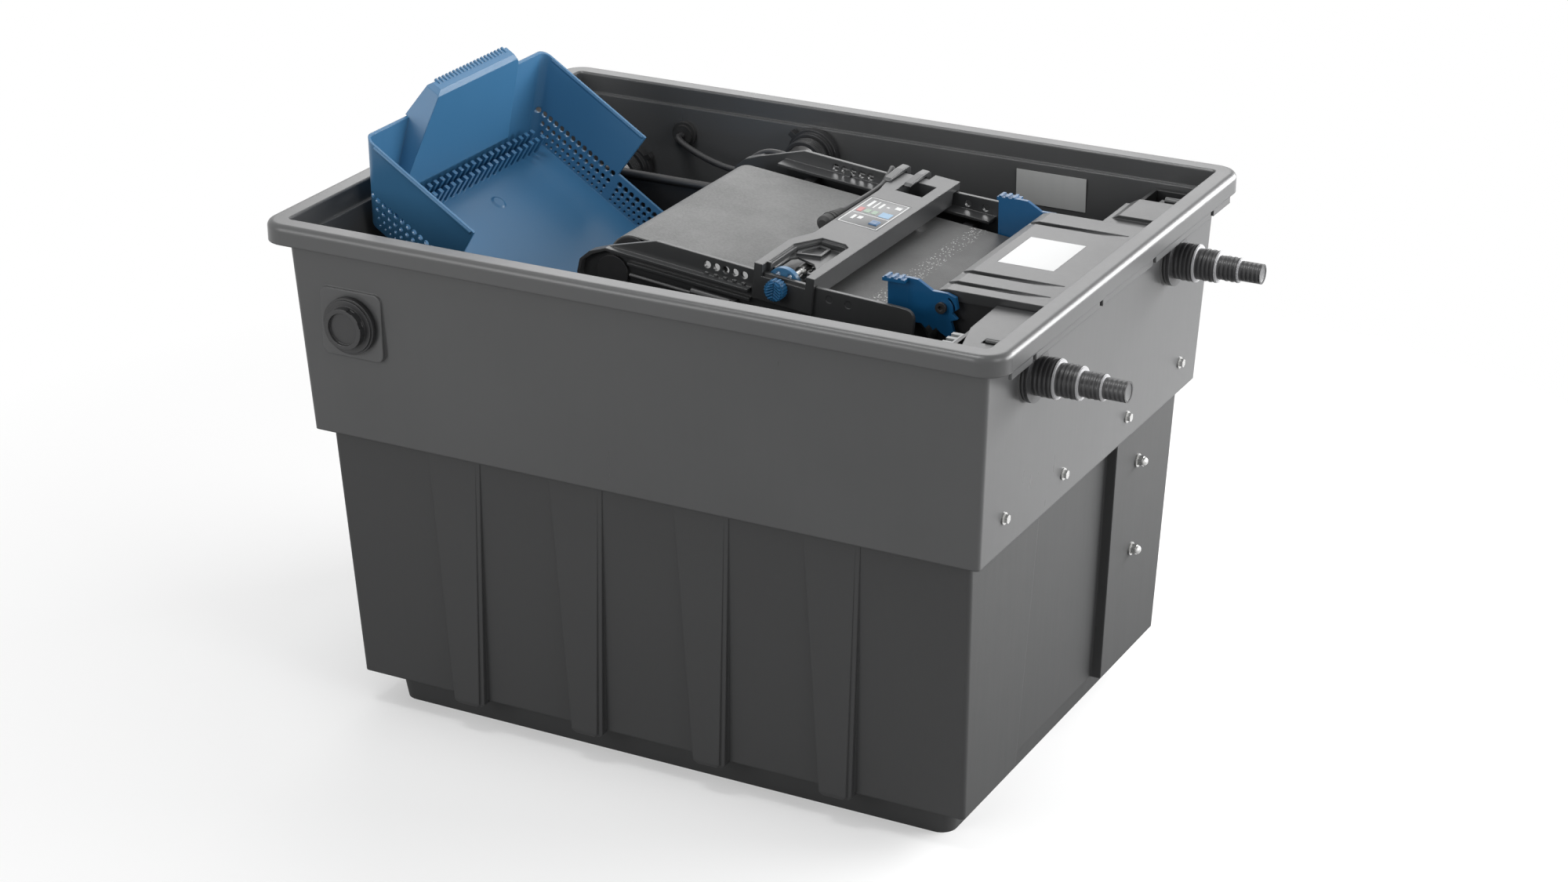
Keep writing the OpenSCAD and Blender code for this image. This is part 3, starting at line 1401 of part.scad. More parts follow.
// Catmull-Rom point between p[i] and p[i+1]
function clamp_i(p, i) = max(0, min(len(p) - 1, i));
function cr(p, i, t) =
  let (a = p[clamp_i(p, i - 1)], b = p[i], c = p[clamp_i(p, i + 1)], d = p[clamp_i(p, i + 2)])
  0.5 * ((2 * b) + (c - a) * t + (2 * a - 5 * b + 4 * c - d) * t * t + (3 * b - a - 3 * c + d) * t * t * t);
function smooth(p, n) = concat([for (i = [0:len(p) - 2], k = [0:n - 1]) cr(p, i, k / n)], [p[len(p) - 1]]);
function unit_v(v) = v / norm(v);
function tangents(p) = [for (i = [0:len(p) - 1]) unit_v(p[min(i + 1, len(p) - 1)] - p[max(i - 1, 0)])];
// Frames carried along the path without twist
function carry(ts, i, n) = i >= len(ts) ? [] :
  let (m = unit_v(n - (n * ts[i]) * ts[i]))
  concat([m], carry(ts, i + 1, m));
module tube(p, r, sides, n0) {
  ts = tangents(p);
  ns = carry(ts, 0, n0);
  ring = [for (i = [0:len(p) - 1], k = [0:sides - 1])
          let (a = 360 * k / sides, b = cross(ts[i], ns[i]))
          p[i] + r * (cos(a) * ns[i] + sin(a) * b)];
  last = (len(p) - 1) * sides;
  start_c = len(ring);
  faces = concat(
    [for (i = [0:len(p) - 2], k = [0:sides - 1]) [i * sides + k, i * sides + (k + 1) % sides, (i + 1) * sides + k]],
    [for (i = [0:len(p) - 2], k = [0:sides - 1])
     [i * sides + (k + 1) % sides, (i + 1) * sides + (k + 1) % sides, (i + 1) * sides + k]],
    [for (k = [0:sides - 1]) [start_c, (k + 1) % sides, k]],
    [for (k = [0:sides - 1]) [start_c + 1, last + k, last + (k + 1) % sides]]);
  polyhedron(concat(ring, [p[0], p[len(p) - 1]]), faces);
}

// Inside stretch: grommet, sag to the rear side frame, along its ridge, over it and to the gland
function in_unit(p) = [drum[0] + p[0] * cos(belt_tilt) + p[2] * sin(belt_tilt), p[1],
                       drum[1] - p[0] * sin(belt_tilt) + p[2] * cos(belt_tilt)];
held_y = frame_y + frame_t + 0.8 + cable_r;
frame_route = [[-24, held_y + 9, 12], [-10, held_y + 7, 23], [6, held_y + 1.5, 28.6], [26, held_y, 28.8],
               [56, held_y, 28.8], [90, held_y, 28.8], [118, held_y, 28.8], [131, held_y + 0.5, 33],
               [138, held_y, 42], [141, held_y - 4, 47.6], [143, 150, 47.6], [145, 138, 45], [148, 122, 42.5],
               [149, 96, 42], [149, 60, 42.6], [gland_u, 34, gland_w], [gland_u, 22, gland_w],
               [gland_u, 15, gland_w]];
inner_route = concat([[-236, 260, 485], [-236, 251, 485], [-222, 240, 482], [-190, 224, 478], [-160, 208, 478],
                      [-132, 191, 482], [-116, 180, 489]], [for (p = frame_route) in_unit(p)]);
module cable_inner() {
  color(black_rubber)
    tube(smooth(inner_route, 2), cable_r, 8, [0, 0, 1]);
}

// Outside stretch: grommet, down behind the tank and along the ground to the coil
outer_route = [[-236, 260, 485], [-236, 270, 485], [-236, 281, 485], [-236, 292, 484], [-236, 302, 476], [-236, 308, 460], [-236, 308, 420],
               [-236, 307, 370], [-236, 306, 320], [-236, 305, 270], [-236, 304, 220], [-236, 303, 170],
               [-236, 302, 120], [-236, 301, 80], [-232, 299, 44], [-222, 293, 18], [-206, 284, 6],
               [-186, 272, 4], [-166, 261, 4], [-146, 255, 4], [-128, 252, 4]];
module cable_outer() {
  color(black_rubber)
    tube(smooth(outer_route, 2), cable_r, 8, [1, 0, 0]);
}

// Stored coil: spirals in and out again in four layers and climbs in the half turn of each reversal
coil_c = [-128, 305];
coil_out = 53;
coil_in = 27;
coil_pitch = 7.6;
layer_turns = (coil_out - coil_in) / coil_pitch;
climb = 0.5;
layer_h = cable_d + 0.55;
coil_z0 = 4;
coil_steps = 24;
lay = layer_turns + climb;
coil_turns = 4 * layer_turns + 3 * climb;
tail_turns = 0.6;
climb_bulge = 1.3;
function coil_r(t) =
  let (k = min(3, floor(t / lay)), q = min(t - k * lay, layer_turns),
       c = k < 3 ? max(0, t - k * lay - layer_turns) / climb : 0, b = climb_bulge * sin(180 * min(1, c)))
  k % 2 == 0 ? coil_out - coil_pitch * q - b : coil_in + coil_pitch * q + b;
function coil_z(t) =
  let (k = min(3, floor(t / lay)), q = max(0, t - k * lay - layer_turns) / climb)
  coil_z0 + layer_h * (k + (k < 3 ? (1 - cos(180 * min(1, q))) / 2 : 0));
// Past the last layer the end leans in over the coil's top, where the plug lies
tail_rise = 12.6;
function tail_r(t) = coil_out + 1.6 * sin(180 * min(1, 1.2 * t / tail_turns))
  - 20 * pow(max(0, t / tail_turns - 0.55) / 0.45, 2);
function tail_z(t) = coil_z(coil_turns) + tail_rise * (1 - cos(180 * min(1, 1.25 * t / tail_turns))) / 2;
function coil_point(t) = t <= coil_turns
  ? [coil_c[0] + coil_r(t) * sin(360 * t), coil_c[1] - coil_r(t) * cos(360 * t), coil_z(t)]
  : [coil_c[0] + tail_r(t - coil_turns) * sin(360 * t), coil_c[1] - tail_r(t - coil_turns) * cos(360 * t),
     tail_z(t - coil_turns)];
coil_n = floor((coil_turns + tail_turns) * coil_steps);
coil_path = [for (i = [0:coil_n]) coil_point((coil_turns + tail_turns) * i / coil_n)];
coil_end = coil_path[coil_n];
coil_dir = unit_v(coil_path[coil_n] - coil_path[coil_n - 1]);
plug_dir = unit_v([coil_dir[0], coil_dir[1], 0]);
coil_length = len([for (i = [1:coil_n]) 1]) == 0 ? 0 : path_length(coil_path, coil_n);
function path_length(p, i) = i <= 0 ? 0 : norm(p[i] - p[i - 1]) + path_length(p, i - 1);
// Least distance between points more than half a turn apart along the coil, less the cable itself
coil_gap = min([for (i = [0:2:coil_n], j = [i + 14:1:coil_n]) norm(coil_path[i] - coil_path[j])]) - cable_d;
echo(coil_length = coil_length, coil_gap = coil_gap, inner = path_length(smooth(inner_route, 2), 2 * len(inner_route) - 2),
     outer = path_length(smooth(outer_route, 2), 2 * len(outer_route) - 2), tray_front = tray_front, coil_end = coil_end);
module cable_coil() {
  color(black_rubber)
    tube(concat(coil_path, [coil_end + plug_dir * cable_d]), cable_r, 6, [0, 0, 1]);
}
plug_at = coil_end + plug_dir * (cable_d + gap / 3);
module cable_plug() {
  color(black_rubber)
    translate(plug_at)
      rotate([0, 90, atan2(plug_dir[1], plug_dir[0])]) {
        cylinder(d1 = 9, d2 = 13, h = 14, $fn = 32);
        translate([0, 0, 14])
          cylinder(d = 17, h = 15, $fn = 32);
        translate([0, 0, 29])
          cylinder(d = 12, h = 9, $fn = 32);
      }
}

// ---- the nodes ------------------------------------------------------------------------------

tank();
partition_wall();
tray_rack();
unit_beam();
foam_grate();
foam_coarse();
foam_fine();
cartridge_rods();
inlet_box();
box_brackets();
cover_front();
cover_rear();
inlet_comb();
adapter_front();
adapter_rear();
adapter_seals();
adapter_nuts();
blind_plug();
plug_seal();
plug_nut();
outlet_low();
outlet_high();
outlet_seals();
outlet_nuts();
drain_neck();
drain_cap();
bracket_screws();
stud_nuts();
cable_grommet();
rating_plate();
side_frame_front();
side_frame_rear();
belt_slats();
screen_belt();
tension_rods();
belt_scraper();
drive_housing();
gear_motor();
control_panel();
push_button();
cable_gland();
frame_clips();
drive_shaft();
hand_knob();
hand_wheel();
head_drum();
tail_roller();
latch_lever_front();
latch_lever_rear();
lever_pins();
dirt_tray();
inlet_lid();
lid_label();
cable_inner();
cable_outer();
cable_coil();
cable_plug();
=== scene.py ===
# %% [markdown]
# # Dressing an open pond filter tank
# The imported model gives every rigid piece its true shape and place. Here those pieces get their finishes, and
# the soft, woven and finely moulded ones are modelled again by hand, with the same operators that a person
# would use in Blender's window.

# %% Load the frame
import math
import bpy
from mathutils import Matrix, Vector


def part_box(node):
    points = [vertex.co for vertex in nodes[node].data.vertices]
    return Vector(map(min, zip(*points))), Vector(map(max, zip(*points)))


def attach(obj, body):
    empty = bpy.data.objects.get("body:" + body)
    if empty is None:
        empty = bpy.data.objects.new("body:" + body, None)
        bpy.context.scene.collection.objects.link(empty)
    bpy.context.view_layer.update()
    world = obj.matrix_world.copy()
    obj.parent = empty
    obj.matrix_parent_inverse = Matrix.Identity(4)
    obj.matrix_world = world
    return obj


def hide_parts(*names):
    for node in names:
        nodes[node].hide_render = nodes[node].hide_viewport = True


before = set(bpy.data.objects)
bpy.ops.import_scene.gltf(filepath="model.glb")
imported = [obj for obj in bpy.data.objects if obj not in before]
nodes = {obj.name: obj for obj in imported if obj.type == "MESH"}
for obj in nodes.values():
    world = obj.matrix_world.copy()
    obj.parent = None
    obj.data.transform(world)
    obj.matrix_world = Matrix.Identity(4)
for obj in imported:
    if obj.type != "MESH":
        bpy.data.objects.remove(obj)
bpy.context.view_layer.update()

# %% [markdown]
# The camera stands to the front right and looks down at about 23 degrees with a long lens. Its three axes are
# worked out from yaw, pitch and roll, which is easier to trust than three Euler angles typed by hand.

# %% Place the camera
def camera_turn(yaw, pitch, roll):
    ahead = Vector((-math.sin(yaw) * math.cos(pitch), math.cos(yaw) * math.cos(pitch), -math.sin(pitch)))
    right = Vector((math.cos(yaw), math.sin(yaw), 0.0))
    up = right.cross(ahead)
    level = math.cos(roll) * right + math.sin(roll) * up
    over = -math.sin(roll) * right + math.cos(roll) * up
    return Matrix((level, over, -ahead)).transposed()

camera_spot = (1.4967, -2.7718, 1.6204)
camera_yaw, camera_pitch, camera_roll = 0.4881, 0.405, -0.0041
long_lens, full_frame = 77.44, 36.0

bpy.ops.object.camera_add(location=camera_spot)
camera = bpy.context.object
camera.name = "studio_camera"
camera.rotation_euler = camera_turn(camera_yaw, camera_pitch, camera_roll).to_euler()
camera.data.lens = long_lens
camera.data.sensor_width = full_frame
bpy.context.scene.camera = camera
print("camera", tuple(round(v, 3) for v in camera.rotation_euler))

# %% [markdown]
# Everything on the belt unit is drawn level about the head drum's axis and then tilted, so one small helper
# does that for all of its pieces. A finished piece keeps its place in its mesh, with its object at the origin.

# %% Helpers to pick, seat and tilt a piece
mm = 0.001
unit_at = Vector((-77 * mm, 0.0, 492 * mm))     # the head drum's axis
unit_tilt = math.radians(5.9)

def pick(*pieces):
    bpy.ops.object.select_all(action="DESELECT")
    for piece in pieces:
        piece.select_set(True)
    bpy.context.view_layer.objects.active = pieces[0]

def settle(piece):
    pick(piece)
    bpy.ops.object.transform_apply(location=True, rotation=True, scale=True)
    return piece

def tilt_with_unit(piece):
    settle(piece)
    piece.location = unit_at
    piece.rotation_euler = (0.0, unit_tilt, 0.0)
    return settle(piece)

def on_unit(u, y, w):
    turn = Matrix.Rotation(unit_tilt, 3, "Y")
    return unit_at + turn @ Vector((u * mm, y * mm, w * mm))

def keep_modifier(piece, kind, **values):
    pick(piece)
    modifier = piece.modifiers.new(kind.title(), kind)
    for name, value in values.items():
        setattr(modifier, name, value)
    bpy.ops.object.modifier_apply(modifier=modifier.name)

print("unit helpers ready")

# %% [markdown]
# The supply cable is one free cord outside the tank: out of the grommet, down the back, along the ground and
# into a neat stored coil that ends in a round connector. Its route repeats the points that the solids follow.
# A curve with a round bevel is the natural way to make it: one spline, one thickness. The thickness is given
# as each point's radius and the bevel is one, because Blender grows a curve's box by that radius.

# %% The cable's route behind the tank
cable_d = 7.0
cable_r = cable_d / 2
grommet_x, grommet_z = -236, 485
grommet_inside, grommet_face = 260, 276.5       # where the cable leaves the wall, inside and outside

def between(points, i, t):
    pick_at = lambda k: Vector(points[max(0, min(len(points) - 1, k))])
    a, b, c, d = pick_at(i - 1), pick_at(i), pick_at(i + 1), pick_at(i + 2)
    return 0.5 * (2 * b + (c - a) * t + (2 * a - 5 * b + 4 * c - d) * t * t + (3 * b - a - 3 * c + d) * t ** 3)

def smooth_route(points, cuts):
    route = [between(points, i, k / cuts) for i in range(len(points) - 1) for k in range(cuts)]
    return route + [Vector(points[-1])]

down_the_back = [(grommet_inside, 485), (270, 485), (281, 485), (292, 484), (302, 476), (308, 460), (308, 420),
                 (307, 370), (306, 320), (305, 270), (304, 220), (303, 170), (302, 120), (301, 80)]
outer_points = [(grommet_x, y, z) for y, z in down_the_back]
outer_points += [(-232, 299, 44), (-222, 293, 18), (-206, 284, 6), (-186, 272, 4), (-166, 261, 4), (-146, 255, 4),
                 (-128, 252, 4)]
print("outer points", len(outer_points))

# %% The stored coil: in and out again in four layers
coil_centre, coil_out, coil_in, coil_pitch = (-128.0, 305.0), 53.0, 27.0, 7.6
layers, climb, layer_h, tail_turns, steps_a_turn = 4, 0.5, 7.55, 0.6, 24
layer_turns = (coil_out - coil_in) / coil_pitch
coil_turns = layers * layer_turns + (layers - 1) * climb

def coil_ring(t):
    layer = min(layers - 1, math.floor(t / (layer_turns + climb)))
    past = t - layer * (layer_turns + climb)
    run = min(past, layer_turns)
    rise = min(1.0, max(0.0, past - layer_turns) / climb) if layer < layers - 1 else 0.0
    bulge = 1.3 * math.sin(math.pi * rise)
    ring = coil_out - coil_pitch * run - bulge if layer % 2 == 0 else coil_in + coil_pitch * run + bulge
    return ring, 4 + layer_h * (layer + (1 - math.cos(math.pi * rise)) / 2)

def coil_point(t):
    ring, height = coil_ring(min(t, coil_turns))
    if t > coil_turns:
        q = (t - coil_turns) / tail_turns
        ring = coil_out + 1.6 * math.sin(math.pi * min(1, 1.2 * q)) - 20 * (max(0, q - 0.55) / 0.45) ** 2
        height += 12.6 * (1 - math.cos(math.pi * min(1, 1.25 * q))) / 2
    turn = 2 * math.pi * t
    return Vector((coil_centre[0] + ring * math.sin(turn), coil_centre[1] - ring * math.cos(turn), height))

coil_steps = math.floor((coil_turns + tail_turns) * steps_a_turn)
coil_route = [coil_point((coil_turns + tail_turns) * i / coil_steps) for i in range(coil_steps + 1)]
end_way = coil_route[-1] - coil_route[-2]
end_way = Vector((end_way.x, end_way.y, 0)).normalized()
coil_route.append(coil_route[-1] + end_way * 7)
print("coil points", len(coil_route))

# %% Draw a cord as one round-bevelled spline
def draw_cord(name, route):
    bpy.ops.curve.primitive_nurbs_path_add()
    cord = bpy.context.object
    cord.name = name
    cord.data.splines.clear()
    spline = cord.data.splines.new("POLY")
    spline.points.add(len(route) - 1)
    for point, place in zip(spline.points, route):
        point.co = (*(place * mm), 1.0)
        point.radius = cable_r * mm
    cord.location = (0, 0, 0)
    cord.data.dimensions = "3D"
    cord.data.bevel_depth = 1.0
    cord.data.bevel_resolution = 3
    cord.data.use_fill_caps = True
    return cord

def route_length(route):
    return sum((b - a).length for a, b in zip(route, route[1:])) * mm

outer_route = [Vector((grommet_x, grommet_face, grommet_z))]
outer_route += [p for p in smooth_route(outer_points, 3) if p.y > grommet_face + 1 or p.z < grommet_z - 5][:-1]
outer_route += coil_route
supply_cord = draw_cord("supply_cord", outer_route)
print("cord length", round(route_length(outer_route), 3))

# %% The stretch inside the tank, held by the rear side frame
frame_y, frame_t, cable_gap = 151, 4, 0.8
held_y = frame_y + frame_t + cable_gap + cable_r
frame_route = [
    (-24, held_y + 9, 12), (-10, held_y + 7, 23), (6, held_y + 1.5, 28.6), (26, held_y, 28.8),
    (56, held_y, 28.8), (90, held_y, 28.8), (118, held_y, 28.8), (131, held_y + 0.5, 33),
    (138, held_y, 42), (141, held_y - 4, 47.6), (143, 150, 47.6), (145, 138, 45), (148, 122, 42.5),
    (149, 96, 42), (149, 60, 42.6), (149, 34, 43), (149, 22, 43), (149, 15, 43)]
inner_points = [(grommet_x, grommet_inside, grommet_z), (grommet_x, 251, grommet_z), (-222, 240, 482),
                (-190, 224, 478), (-160, 208, 478), (-132, 191, 482), (-116, 180, 489)]
inner_points += [tuple(on_unit(*p) / mm) for p in frame_route]
inner_route = smooth_route(inner_points, 4)
inner_cord = draw_cord("inner_cord", inner_route)
print("inner cord length", round(route_length(inner_route), 3))

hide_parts("cable_outer", "cable_coil")
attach(supply_cord, "tank_body")
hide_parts("cable_inner")
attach(inner_cord, "tank_body")

# %% [markdown]
# Most finishes here share two effects: the fine spark grain of a mould, and edges that a mould rounds a
# little. One shader node group makes both, and is built once. It works from object coordinates and gives
# colour, roughness and a normal that is bumped by the grain and rounded near sharp edges, which gives them
# their bright line. A few helpers for nodes come first: each takes a socket or a plain value.

# %% Node helpers
def place(tree, kind, **values):
    node = tree.nodes.new(kind)
    for name, value in values.items():
        setattr(node, name, value)
    return node

def feed(tree, source, target):
    tree.links.new(source, target)

def give(tree, value, socket):
    if hasattr(value, "is_linked"):
        feed(tree, value, socket)
    elif isinstance(value, (int, float)):
        socket.default_value = value
    else:
        socket.default_value = (*value, 1.0) if len(socket.default_value) == 4 else value

def maths(tree, a, b, operation="ADD", clamp=False):
    node = place(tree, "ShaderNodeMath", operation=operation, use_clamp=clamp)
    for socket, value in zip(node.inputs, (a, b)):
        give(tree, value, socket)
    return node.outputs[0]

def blend_colour(tree, mask, a, b):
    node = place(tree, "ShaderNodeMix", data_type="RGBA")
    for at, value in ((0, mask), (6, a), (7, b)):
        give(tree, value, node.inputs[at])
    return node.outputs[2]

def spread(tree, value, low, high, to_low, to_high):
    node = place(tree, "ShaderNodeMapRange")
    for socket, given in zip(node.inputs, (value, low, high, to_low, to_high)):
        give(tree, given, socket)
    return node.outputs[0]

print("node helpers ready")

# %% Helpers for patterns and bumps
def object_spot(tree):
    return place(tree, "ShaderNodeTexCoord").outputs["Object"]

def axes_of(tree, spot):
    parts = place(tree, "ShaderNodeSeparateXYZ")
    feed(tree, spot, parts.inputs[0])
    return [parts.outputs[axis] for axis in "XYZ"]

def pattern(tree, kind, spot, **values):
    node = place(tree, "ShaderNodeTex" + kind)
    feed(tree, spot, node.inputs["Vector"])
    for label, value in values.items():
        give(tree, value, node.inputs[label])
    return node

def noise(tree, spot, scale, detail=2.0, roughness=0.5):
    return pattern(tree, "Noise", spot, Scale=scale, Detail=detail, Roughness=roughness).outputs[0]

def stretched(tree, spot, scale):
    node = place(tree, "ShaderNodeMapping")
    give(tree, scale, node.inputs["Scale"])
    feed(tree, spot, node.inputs["Vector"])
    return node.outputs[0]

def bumped(tree, height, strength, distance):
    node = place(tree, "ShaderNodeBump")
    for label, value in (("Height", height), ("Strength", strength), ("Distance", distance)):
        give(tree, value, node.inputs[label])
    return node

def open_group(name, ins, outs):
    group = bpy.data.node_groups.new(name, "ShaderNodeTree")
    for label, kind, value in ins:
        socket = group.interface.new_socket(name=label, in_out="INPUT", socket_type=kind)
        socket.default_value = value
    for label, kind in outs:
        group.interface.new_socket(name=label, in_out="OUTPUT", socket_type=kind)
    return group, place(group, "NodeGroupInput"), place(group, "NodeGroupOutput")

print("pattern helpers ready")

# %% [markdown]
# Spark grain is a very fine, even roughness. One fine noise lifts it, a broad noise shifts the colour and the
# sheen a little, as a big rotational or injection moulding always does, and a stretched noise leaves the
# faint upright drag marks of the tool.

# %% The mould grain group
def build_grain():
    group, given, result = open_group(
        "Mould grain",
        [("Colour", "NodeSocketColor", (0.1, 0.1, 0.1, 1)), ("Grain size", "NodeSocketFloat", 900.0),
         ("Grain depth", "NodeSocketFloat", 0.25), ("Mottle", "NodeSocketFloat", 0.12),
         ("Roughness", "NodeSocketFloat", 0.45), ("Edge", "NodeSocketFloat", 0.0012)],
        [("Colour", "NodeSocketColor"), ("Roughness", "NodeSocketFloat"), ("Normal", "NodeSocketVector")])
    asked = given.outputs
    spot = object_spot(group)
    fine = noise(group, spot, asked["Grain size"])
    broad = noise(group, spot, 7.0, detail=4.0)
    drag = noise(group, stretched(group, spot, (60, 60, 3)), 3.0)
    streaks = maths(group, maths(group, drag, 0.5, "SUBTRACT"), 0.35, "MULTIPLY")
    uneven = maths(group, maths(group, broad, 0.5, "SUBTRACT"), streaks)
    tint = place(group, "ShaderNodeVectorMath", operation="SCALE")
    feed(group, asked["Colour"], tint.inputs[0])
    feed(group, maths(group, maths(group, uneven, asked["Mottle"], "MULTIPLY"), 1.0), tint.inputs["Scale"])
    feed(group, tint.outputs[0], result.inputs["Colour"])
    feed(group, maths(group, asked["Roughness"], maths(group, uneven, 0.16, "MULTIPLY"), clamp=True),
         result.inputs["Roughness"])
    round_edge = place(group, "ShaderNodeBevel", samples=4)
    feed(group, asked["Edge"], round_edge.inputs["Radius"])
    grain = bumped(group, fine, asked["Grain depth"], 0.0003)
    feed(group, round_edge.outputs[0], grain.inputs["Normal"])
    feed(group, grain.outputs[0], result.inputs["Normal"])
    return group

mould_grain = build_grain()
print("group", mould_grain.name)

# %% A moulded plastic from the grain group
def start_material(name):
    material = bpy.data.materials.new(name)
    material.use_nodes = True
    tree = material.node_tree
    return material, tree, tree.nodes["Principled BSDF"]

def wire_grain(tree, surface, values):
    grain = place(tree, "ShaderNodeGroup")
    grain.node_tree = mould_grain
    for label, value in values.items():
        give(tree, value, grain.inputs[label])
    for label, target in (("Colour", "Base Color"), ("Roughness", "Roughness"), ("Normal", "Normal")):
        feed(tree, grain.outputs[label], surface.inputs[target])

def moulded_plastic(name, colour, roughness, grain=900.0, depth=0.25, mottle=0.12, edge=0.0012):
    material, tree, surface = start_material(name)
    wire_grain(tree, surface, {"Colour": colour, "Roughness": roughness, "Grain size": grain,
                               "Grain depth": depth, "Mottle": mottle, "Edge": edge})
    return material

inner_plastic = moulded_plastic("Dark inner plastic", (0.024, 0.024, 0.025), 0.38, grain=1100)
unit_plastic = moulded_plastic("Anthracite unit plastic", (0.038, 0.039, 0.040), 0.31, grain=1500, depth=0.12)
tray_plastic = moulded_plastic("Tray blue plastic", (0.039, 0.140, 0.270), 0.34, grain=1400, depth=0.12,
                               mottle=0.08)
lever_plastic = moulded_plastic("Lever blue plastic", (0.008, 0.082, 0.200), 0.30, grain=1800, depth=0.10,
                                mottle=0.05, edge=0.0008)
knob_plastic = moulded_plastic("Knob blue plastic", (0.020, 0.115, 0.250), 0.34, grain=1800, depth=0.08,
                               edge=0.0004)
tip_plastic = moulded_plastic("Adapter tip plastic", (0.075, 0.076, 0.078), 0.42, grain=1700, edge=0.0004)
pale_plastic = moulded_plastic("Pale comb plastic", (0.36, 0.37, 0.37), 0.45, edge=0.0006)
soft_black = moulded_plastic("Soft black plastic", (0.020, 0.020, 0.021), 0.42, grain=1700, edge=0.0008)
print("plastics ready")

# %% [markdown]
# The tank is one moulding with two textures. The upper band, the rim and the flat strips of the end walls
# left the tool smooth, while the lower body and its sunken panels are coarser and rougher; their colour is also
# painted darker, as painted shade. A mask from the place on the tank chooses between the two: height first,
# then, on the end walls, whether a point lies in the sunken panel.

# %% The tank's two textures, with painted shade on the coarse one
def tank_finish(smooth_tone, coarse_painted_shade_tone):
    material, tree, surface = start_material("Anthracite tank wall")
    x, y, z = axes_of(tree, object_spot(tree))
    under_step = spread(tree, z, 0.3125, 0.3145, 1.0, 0.0)
    on_end = spread(tree, maths(tree, x, 0.0, "ABSOLUTE"), 0.353, 0.355, 0.0, 1.0)
    lean = maths(tree, maths(tree, z, 0.31, "SUBTRACT"), 0.081, "MULTIPLY")
    past_panel = spread(tree, maths(tree, y, lean, "SUBTRACT"), 0.093, 0.095, 0.0, 1.0)
    strip = maths(tree, on_end, past_panel, "MULTIPLY")
    coarse = maths(tree, under_step, maths(tree, 1.0, strip, "SUBTRACT"), "MULTIPLY")
    # the coarse zone's darker colour is painted shade; its roughness and grain depth are the real texture
    wire_grain(tree, surface, {"Colour": blend_colour(tree, coarse, smooth_tone, coarse_painted_shade_tone),
                               "Roughness": spread(tree, coarse, 0.0, 1.0, 0.31, 0.56),
                               "Grain depth": spread(tree, coarse, 0.0, 1.0, 0.10, 0.30),
                               "Grain size": 800.0, "Mottle": 0.09, "Edge": 0.0024})
    return material

# second tone: the lower body and sunken panels, painted darker as painted shade
tank_wall = tank_finish((0.068, 0.069, 0.070), (0.028, 0.0285, 0.029))
print(tank_wall.name)

# %% [markdown]
# The hose adapters are soft black plastic with many fine turned ridges, with a painted highlight on the lip at
# the end of each step. The ridges repeat along the adapter's own axis, so a wave along X draws them in the bump
# and, as painted shade and light, in the colour; three narrow bands at the lips are painted highlights.

# %% Ridged adapter plastic
def ridged_plastic(lips):
    material, tree, surface = start_material("Ridged adapter plastic")
    spot = object_spot(tree)
    x = axes_of(tree, spot)[0]
    ridge = pattern(tree, "Wave", spot, Scale=70.0).outputs["Fac"]
    painted_lip_highlight = 0.0
    for at in lips:
        away = maths(tree, maths(tree, x, at * mm, "SUBTRACT"), 0.0, "ABSOLUTE")
        painted_lip_highlight = maths(tree, spread(tree, away, 0.0006, 0.0009, 1.0, 0.0), painted_lip_highlight)
    # painted shade and light: the colour darkens and lightens with each ridge's wave
    painted_ridge_shading = blend_colour(tree, ridge, (0.018, 0.018, 0.019), (0.048, 0.048, 0.050))
    # painted highlights: pale bands at the three lips
    feed(tree, blend_colour(tree, painted_lip_highlight, painted_ridge_shading, (0.42, 0.42, 0.43)), surface.inputs["Base Color"])
    surface.inputs["Roughness"].default_value = 0.36
    feed(tree, bumped(tree, ridge, 0.5, 0.0006).outputs[0], surface.inputs["Normal"])
    return material

adapter_tip, tip_to_root, lip_half = 467.9, 88.0, 0.6
adapter_plastic = ridged_plastic([adapter_tip - tip_to_root + step - lip_half for step in (22, 44, 66)])
print(adapter_plastic.name)

# %% [markdown]
# Rubber is almost without colour: what tells it from plastic is a duller, broader sheen and a fine bloom of
# dust. The cable's jacket is the same with a smoother face.

# %% Rubber and cable jacket
def soft_rubber(name, colour, roughness, bloom):
    material, tree, surface = start_material(name)
    spot = object_spot(tree)
    dust = noise(tree, spot, 60.0, detail=6.0)
    veil = spread(tree, dust, 0.45, 0.75, 0.0, bloom)
    feed(tree, blend_colour(tree, veil, colour, (0.25, 0.25, 0.25)), surface.inputs["Base Color"])
    feed(tree, spread(tree, dust, 0.3, 0.7, roughness - 0.06, roughness + 0.1), surface.inputs["Roughness"])
    feed(tree, bumped(tree, noise(tree, spot, 1800.0), 0.15, 0.0002).outputs[0], surface.inputs["Normal"])
    return material

seal_rubber = soft_rubber("Seal rubber", (0.014, 0.014, 0.014), 0.62, 0.08)
cable_jacket = soft_rubber("Cable jacket", (0.018, 0.018, 0.019), 0.45, 0.05)
print("rubbers ready")

# %% [markdown]
# Stainless steel takes its colour from what it mirrors. A noise stretched round the part gives the brushed
# streaks, in roughness rather than in colour.

# %% Stainless steel
def stainless():
    material, tree, surface = start_material("Stainless steel")
    surface.inputs["Metallic"].default_value = 1.0
    streak = noise(tree, stretched(tree, object_spot(tree), (40, 900, 900)), 2.0, detail=4.0)
    feed(tree, spread(tree, streak, 0.3, 0.7, 0.20, 0.38), surface.inputs["Roughness"])
    shade = spread(tree, streak, 0.3, 0.7, 0.0, 1.0)
    feed(tree, blend_colour(tree, shade, (0.56, 0.56, 0.55), (0.68, 0.68, 0.67)), surface.inputs["Base Color"])
    return material

steel = stainless()
print(steel.name)

